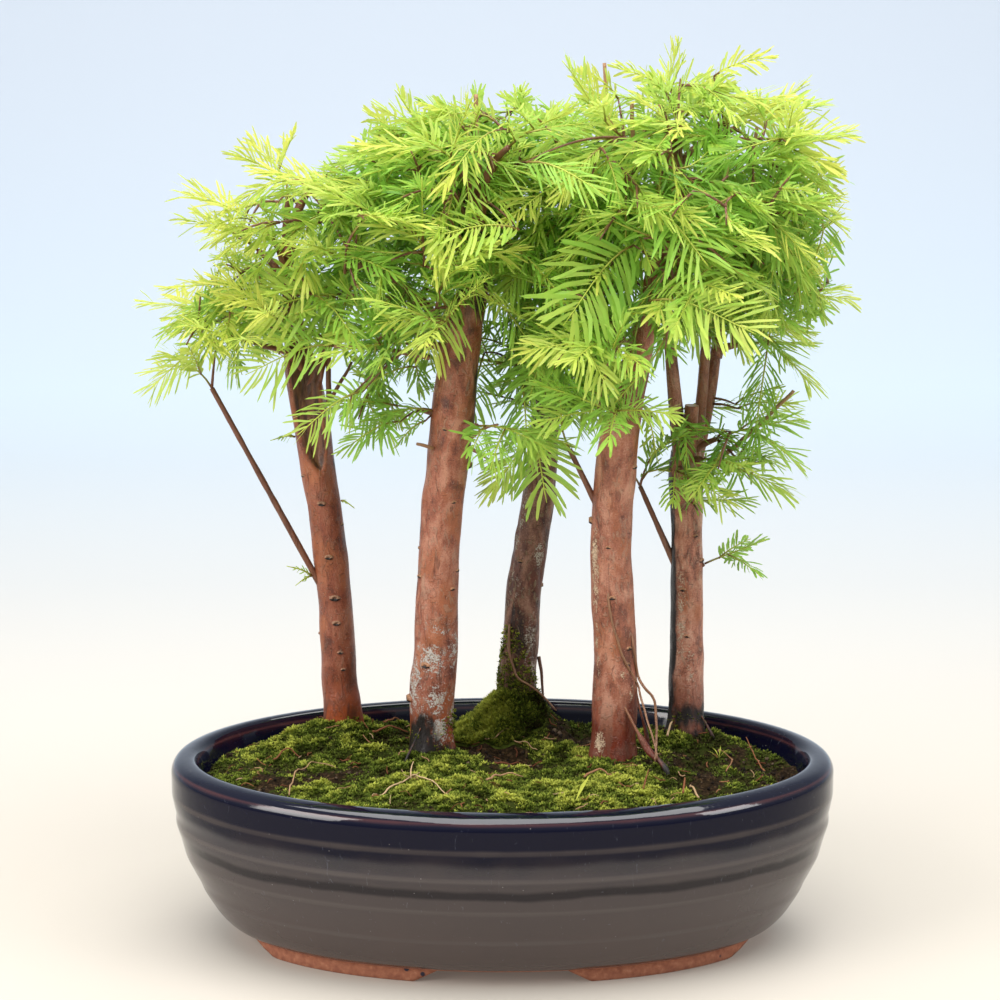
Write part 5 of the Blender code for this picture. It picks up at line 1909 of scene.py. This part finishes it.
@dataclass
class Tray:
    """The glazed oval tray on its four feet."""

    # The wall's outline from its foot over the rim and in, as (half width, height).
    outline: Rows = ((66.5, 6), (71.7, 9.2), (76.2, 14), (79.8, 19.5), (82.7, 24.5), (84.3, 28.5), (87.1, 34),
                     (90, 40), (91.1, 44), (92.4, 49), (94.2, 55), (94.2, 59.5), (95.2, 64.5), (96, 70),
                     (96, 78.5), (93.4, 83.4), (88.5, 85), (85.3, 84), (83.5, 80.5))
    # Throwing ridges of the wall, as (height, half width).
    ridges: Rows = ((81.6, 0.9), (69.5, 1.8), (56.5, 1.6), (41, 1.5), (25, 1.5))
    foot_half: tuple[float, float] = (52, 66)
    foot_top: float = 7.0
    arch_front: tuple[float, float] = (27, 39)
    arch_end: tuple[float, float] = (23, 35)
    arch_height: float = 6.5
    drains: tuple[float, float] = (-55, 55)
    drain_radius: float = 7.0
    segments: int = 200

    def wall(self) -> Array:
        """Rounds the wall's outline.

        Returns:
            Rows of half width, height and edge, which is 1 on ridges that stand out.
        """
        rounded = resampled([(half, height, 0.0) for half, height in self.outline], 1.1)[:, :2]
        rounded[:, 0] = np.minimum(rounded[:, 0], 95.9)
        outline = np.vstack(((0.5, 6), (40, 6), (62, 6), rounded, (59, 14), (40, 14), (0.5, 14)))
        ridge = np.zeros(len(outline))
        for height, spread in self.ridges:
            ridge += np.exp(-((outline[:, 1] - height) / spread) ** 2) * (outline[:, 0] > 80)
        return np.column_stack((outline, ridge))

    def turned(self, outline: Array) -> Array:
        """Sweeps an outline round the tray's oval.

        Args:
            outline: rows that start with a half width and a height.

        Returns:
            Rows of x, y, z.
        """
        turn = circle(self.segments)
        radius = outline[:, 0][:, None]
        offset = OVAL_OFFSET * np.minimum(1.0, radius / OVAL_CORE)
        height = np.broadcast_to(outline[:, 1][:, None], (len(outline), self.segments))
        return np.stack(((radius + offset) * np.cos(turn), radius * np.sin(turn), height), -1).reshape(-1, 3)

    def foot(self, soup: Soup, corner: tuple[int, int]) -> None:
        """Adds the foot in one corner.

        Args:
            soup: where it goes.
            corner: the signs of its x and y.
        """
        inner, outer = self.foot_half
        levels = np.array((0.0, 0.6, 3.0, 5.5, self.foot_top))
        columns = 28
        blocks = []
        for level in levels:
            share = 1 - min(level, self.arch_height) / self.arch_height
            front = self.arch_front[0] + (self.arch_front[1] - self.arch_front[0]) * share
            side = self.arch_end[0] + (self.arch_end[1] - self.arch_end[0]) * share
            inset = 0.5 if level == 0 else 0.0
            for radius in (inner + inset, outer - inset):
                start = math.asin(min(1.0, side / radius))
                end = math.acos(min(1.0, front / (radius + OVAL_OFFSET)))
                turn = np.linspace(start, end, columns)
                blocks.append(np.stack(((radius + OVAL_OFFSET) * np.cos(turn) * corner[0],
                                        radius * np.sin(turn) * corner[1], np.full(columns, level)), 1))
        points = np.concatenate(blocks)
        order = [2 * i + 1 for i in range(len(levels))] + [2 * i for i in reversed(range(len(levels)))]
        loop = np.array(order)
        faces = []
        for a, b in zip(loop, np.roll(loop, -1)):
            here = a * columns + np.arange(columns - 1)
            there = b * columns + np.arange(columns - 1)
            faces.append(np.stack((here, here + 1, there + 1, there), 1))
        quads = np.concatenate(faces)
        ends = np.stack((loop * columns, loop[::-1] * columns + columns - 1))
        if corner[0] * corner[1] < 0:
            quads, ends = quads[:, ::-1], ends[:, ::-1]
        soup.add(points, quads, ends, edge=0.0)

    def drill(self, made: bpy.types.Object) -> None:
        """Opens the drain holes in the floor.

        Args:
            made: the tray's piece.
        """
        sides = 32
        turn, ring = circle(sides), np.arange(sides)
        flat = np.stack((np.cos(turn), np.sin(turn)), 1) * self.drain_radius
        points = [(x + side[0], side[1], z) for x in self.drains for z in (0.0, 20.0) for side in flat]
        plug = (*ring_faces(2, sides), ring[::-1], ring + sides)
        faces = [(face + 2 * sides * hole).tolist() for hole in range(len(self.drains)) for face in plug]
        mesh = bpy.data.meshes.new("drains")
        mesh.from_pydata(placed(np.array(points)).tolist(), [], faces)
        cutter = linked("drains", mesh)
        cut = made.modifiers.new("drains", "BOOLEAN")
        cut.operation, cut.solver, cut.object = "DIFFERENCE", "EXACT", cutter
        seen = made.evaluated_get(bpy.context.evaluated_depsgraph_get())
        made.data = bpy.data.meshes.new_from_object(seen)
        made.modifiers.clear()
        bpy.data.objects.remove(cutter)

    def build(self) -> None:
        """Builds the tray."""
        soup = Soup()
        wall = self.wall()
        points = self.turned(wall)
        ring = np.arange(self.segments)
        caps = np.array((ring[::-1], ring + (len(wall) - 1) * self.segments))
        soup.add(points, ring_faces(len(wall), self.segments), caps, edge=np.repeat(wall[:, 2], self.segments))
        for corner in itertools.product((1, -1), repeat=2):
            self.foot(soup, corner)
        self.drill(soup.piece("tray", (Glaze().material(),), replaces=("tray",)))


class Softbox(Enum):
    """The studio's lights, as (place, size, power, colour). Each looks at the crown's middle."""

    OVERHEAD = ((0.1, -0.2, 1.7), 1.8, 54.0, (1.0, 0.99, 0.97))
    LEFT = ((-1.5, -1.0, 1.0), 1.0, 24.0, (1.0, 0.98, 0.95))
    RIGHT = ((1.5, -0.7, 0.9), 0.6, 8.0, (0.97, 0.99, 1.0))


@dataclass
class Studio:
    """A plain pale floor that turns up into a plain wall, soft lights, and the camera."""

    eye: Triple = (0.0029, -1.214, 0.45)
    tilt: float = 11.73
    lens: float = 99.864
    aim: Triple = (0.0, 0.0, 0.2)

    def camera(self) -> None:
        """Sets up the photograph's view."""
        data = bpy.data.cameras.new("camera")
        data.lens, data.sensor_width = self.lens, 36
        made = linked("camera", data)
        made.location, made.rotation_euler = self.eye, (math.radians(90 - self.tilt), 0, 0)
        bpy.context.scene.camera = made

    def floor(self) -> None:
        """Builds the floor and the wall behind as one sweep."""
        graph = Graph("sweep")
        back = graph.axis("Y").rise(0.0, 2.2)
        colour = graph.ramp(back, (0.0, (0.52, 0.475, 0.415)), (0.22, (0.5, 0.505, 0.5)),
                            (0.66, (0.56, 0.645, 0.72)), (0.95, (0.56, 0.615, 0.69)))
        inputs = {"Base Color": colour, "Roughness": 0.8, "Emission Color": colour, "Emission Strength": 0.16}
        material = graph.finish(graph.principled(inputs))
        start, bend, radius, top, wide = -7.0, 1.1, 1.1, 2.4, 7.0
        turn = np.linspace(0, math.pi / 2, 24)
        profile = [(start, 0.0), *zip(bend + radius * np.sin(turn), radius * (1 - np.cos(turn))), (bend + radius, top)]
        points = [(side, y, z) for side in (-wide, wide) for y, z in profile]
        count = len(profile)
        mesh = bpy.data.meshes.new("floor")
        mesh.from_pydata(points, [], [(i, count + i, count + i + 1, i + 1) for i in range(count - 1)])
        mesh.materials.append(material)
        mesh.shade_smooth()
        linked("floor", mesh)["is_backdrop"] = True

    def lights(self) -> None:
        """Adds the softboxes and the sky's light."""
        for box in Softbox:
            place, size, power, colour = box.value
            data = bpy.data.lights.new(box.name.lower(), "AREA")
            data.shape, data.size, data.energy, data.color = "SQUARE", size, power, colour
            away = np.array(place) - np.array(self.aim)
            tilt, turn = math.acos(away[2] / np.linalg.norm(away)), math.atan2(away[1], away[0])
            made = linked(box.name.lower(), data)
            made.location, made.rotation_euler = place, (tilt, 0, turn + math.pi / 2)
        world = bpy.data.worlds.new("sky")
        world.use_nodes = True
        sky = world.node_tree.nodes["Background"]
        sky.inputs["Color"].default_value = (0.86, 0.93, 1.0, 1)
        sky.inputs["Strength"].default_value = 0.42
        bpy.context.scene.world = world
        bpy.context.scene.view_settings.view_transform = "Standard"

    def build(self) -> None:
        """Sets up the whole studio."""
        self.camera()
        self.floor()
        self.lights()


RED_BARK = ((0.1, 0.022, 0.01), (0.255, 0.064, 0.028), (0.35, 0.125, 0.068))
DARK_BARK = ((0.018, 0.006, 0.004), (0.125, 0.04, 0.022), (0.33, 0.17, 0.11))
FOREST = (
    Trunk(
        1, Bark("bark_1", *RED_BARK, 0.15, leader=(0.4, 0.24, 0.15)),
        knots=(
            (-95, 189, 1.9), (-92, 165, 2.0), (-84, 146, 2.4), (-84, 133, 2.0), (-80, 120, 1.4), (-70, 112, 1.3),
            (-150, 203, 1.2), (-20, 178, 1.2), (170, 128, 1.2),
        ),
        stains_and_shade=((-10, 180, 30, 90, 0.3),),
        fissures=0.12,
        leaders=(
            (((-79.1, 48, 236, 1.3), (-79.0, 48, 249.0, 1.2), (-79.1, 48, 262, 1.1)), 0.0),
            (((-78, 48, 238, 1.0), (-72.6, 48, 247.6, 0.8), (-68.4, 48, 255.0, 0.6)), 0.0),
        ),
    ),
    Trunk(
        2, Bark("bark_2", (0.11, 0.028, 0.016), (0.32, 0.096, 0.05), (0.5, 0.225, 0.145), 0.35),
        knots=(
            (-10, 216, 3.2), (-170, 176, 1.2), (-25, 166, 1.4), (-150, 163, 1.6), (-170, 106, 3.0), (-115, 124, 2.2),
            (-60, 199, 1.3), (-40, 159, 1.5), (-110, 232, 1.2),
        ),
        deposits=(
            (-100, 127, 60, 13, 0.95), (-30, 130, 40, 18, 0.92), (-150, 114, 50, 24, 0.95), (-75, 108, 50, 11, 0.98),
            (-70, 93, 34, 9, 1.2), (-20, 100, 34, 24, 0.9), (-80, 141, 80, 8, 0.76), (-115, 100, 30, 8, 0.9),
        ),
        # The fourth darkens a strip up the right side; the last, all round the top, is painted shade under the crown.
        stains_and_shade=(
            (-125, 86, 60, 16, 1.25), (-60, 80, 60, 6, 1.0), (-90, 116, 90, 14, 0.35), (5, 245, 42, 38, 1.1),
            (-90, 305, 180, 34, 0.9),
        ),
        fissures=0.18,
        leaders=(
            (((-32, 8, 263, 1.2), (-50, 6, 267, 1.0), (-74, 10, 268, 0.8)), 0.45),
            (((-11, 8, 345, 1.2), (-11.6, 8, 378, 0.9)), 0.9),
            (((-16.2, 10, 222.8, 1.0), (-10.9, 8, 220.5, 0.8), (-6.4, 6, 218.1, 0.5)), 0.0),
            (((-15.3, 10, 225.9, 0.9), (-9.5, 8, 230.8, 0.7), (-2.0, 6, 233.9, 0.5)), 0.3),
            (((-31.0, 6, 223.1, 0.9), (-37.7, 2, 225.6, 0.7)), 0.9),
        ),
    ),
    Trunk(
        3, Bark(
            "bark_3", *DARK_BARK, 0.85,
            deposit=(0.5, 0.45, 0.38), scale=(0.22, 0.15, 0.085), warm=(0.15, 0.035, 0.018), foot=(0.06, 0.03, 0.014),
        ),
        knots=((-10, 192, 3.0), (0, 150, 1.6), (-120, 160, 1.4)),
        deposits=(
            (-150, 175, 50, 50, 0.72), (-60, 165, 30, 10, 0.95), (-60, 125, 40, 20, 0.8), (-30, 110, 30, 12, 0.85),
            (-110, 145, 30, 30, 0.62),
        ),
        fissures=0.6,
        leaders=(
            (((3.0, 48.5, 132.1, 0.7), (3.3, 47.0, 119.4, 0.65), (5.4, 45.5, 111.0, 0.6), (7.7, 44, 107.0, 0.55),
              (12.8, 43, 103.9, 0.5), (18.8, 43, 99.0, 0.45), (25, 42, 92, 0.4)), 0.4),
            (((17.0, 57, 114.0, 0.9), (18.6, 55, 105.5, 0.7), (19.4, 52, 94.0, 0.5)), 0.0),
        ),
    ),
    Trunk(
        4, Bark(
            "bark_4", (0.145, 0.042, 0.024), (0.35, 0.118, 0.066), (0.54, 0.255, 0.168), 0.35,
            deposit=(0.66, 0.48, 0.32), foot=(0.15, 0.012, 0.002),
        ),
        knots=((178, 190, 2.8), (-30, 216, 1.8), (-95, 156, 1.6), (-60, 126, 1.4), (-50, 132, 1.6), (-100, 180, 1.2)),
        deposits=(
            (-145, 168, 26, 30, 1.0), (-150, 130, 22, 26, 0.8), (-130, 90, 22, 8, 1.15), (-45, 112, 14, 10, 0.85),
            (-75, 120, 20, 8, 0.7),
        ),
        fissures=0.18,
        leaders=(
            (((57, 10, 340, 1.2), (56, 10, 374, 0.9)), 1.0),
            (((66, 8, 328, 1.3), (68, 8, 374, 1.0)), 1.0),
            (((46, 40, 372, 1.0), (45, 40, 390, 0.8)), 1.0),
            (((108, 5, 346, 1.0), (110, 5, 364, 0.8)), 1.0),
            (((76, 10, 330, 1.2), (78, 10, 371, 0.9)), 0.9),
            (((48.6, 1.0, 161, 0.4), (47.1, -1.6, 157, 0.6), (49.0, -1.9, 144.9, 0.5), (54.5, -1.3, 127.9, 0.55),
              (60.5, 3.2, 115.9, 0.5), (61.9, 1.5, 110.8, 0.5), (65.4, -6, 99.9, 0.45), (69.0, -14, 86, 0.4)), 0.6),
            (((57.4, 3, 139, 0.4), (58.6, 1, 135, 0.55), (60.9, 3.4, 119.8, 0.6), (63.6, -1, 115.1, 0.65),
              (68.1, 0, 108.8, 0.6), (69.0, -4, 96.9, 0.6), (68.2, -12, 84, 0.5)), 0.45),
        ),
    ),
    Trunk(
        5, Bark(
            "bark_5", (0.15, 0.048, 0.03), (0.465, 0.18, 0.11), (0.68, 0.39, 0.275), 0.45,
            deposit=(0.62, 0.47, 0.34), foot=(0.16, 0.038, 0.016),
        ),
        knots=((-20, 163, 2.0), (-110, 150, 1.6), (-60, 176, 1.4), (-95, 128, 1.3)),
        deposits=((-115, 138, 34, 40, 0.88), (-80, 116, 30, 18, 0.8), (-40, 165, 30, 20, 0.75)),
        stains_and_shade=((185, 140, 46, 100, 1.5), (-80, 90, 200, 7, 0.92), (-80, 82, 200, 6, 0.6)),
        fissures=0.25,
        leaders=((((92, 45, 206, 1.3), (101.6, 44, 212.7, 1.2), (118, 43, 228, 1.0), (132, 42, 242.7, 0.8)), 1.0),),
    ),
)


def main() -> None:
    """Builds the scene."""
    logging.basicConfig(level=logging.INFO, format="%(message)s")
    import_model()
    solid_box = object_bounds()
    Studio().build()
    Tray().build()
    ground = Ground()
    ground.soil()
    moss = MOSS.material()
    ground.moss(moss)
    ground.mound(moss)
    ground.climbing(moss)
    ground.crumbs()
    ground.litter()
    low, high = (np.array(corner) / MM + MIDDLE for corner in solid_box)
    crown = Crown(PADS, CLEAR, BOLD, (low, high))
    crown.dress(Foliage().material(), GreenShoot().material())
    for trunk in FOREST:
        trunk.build(crown.twigs[trunk.number])


if __name__ == "__main__":
    main()
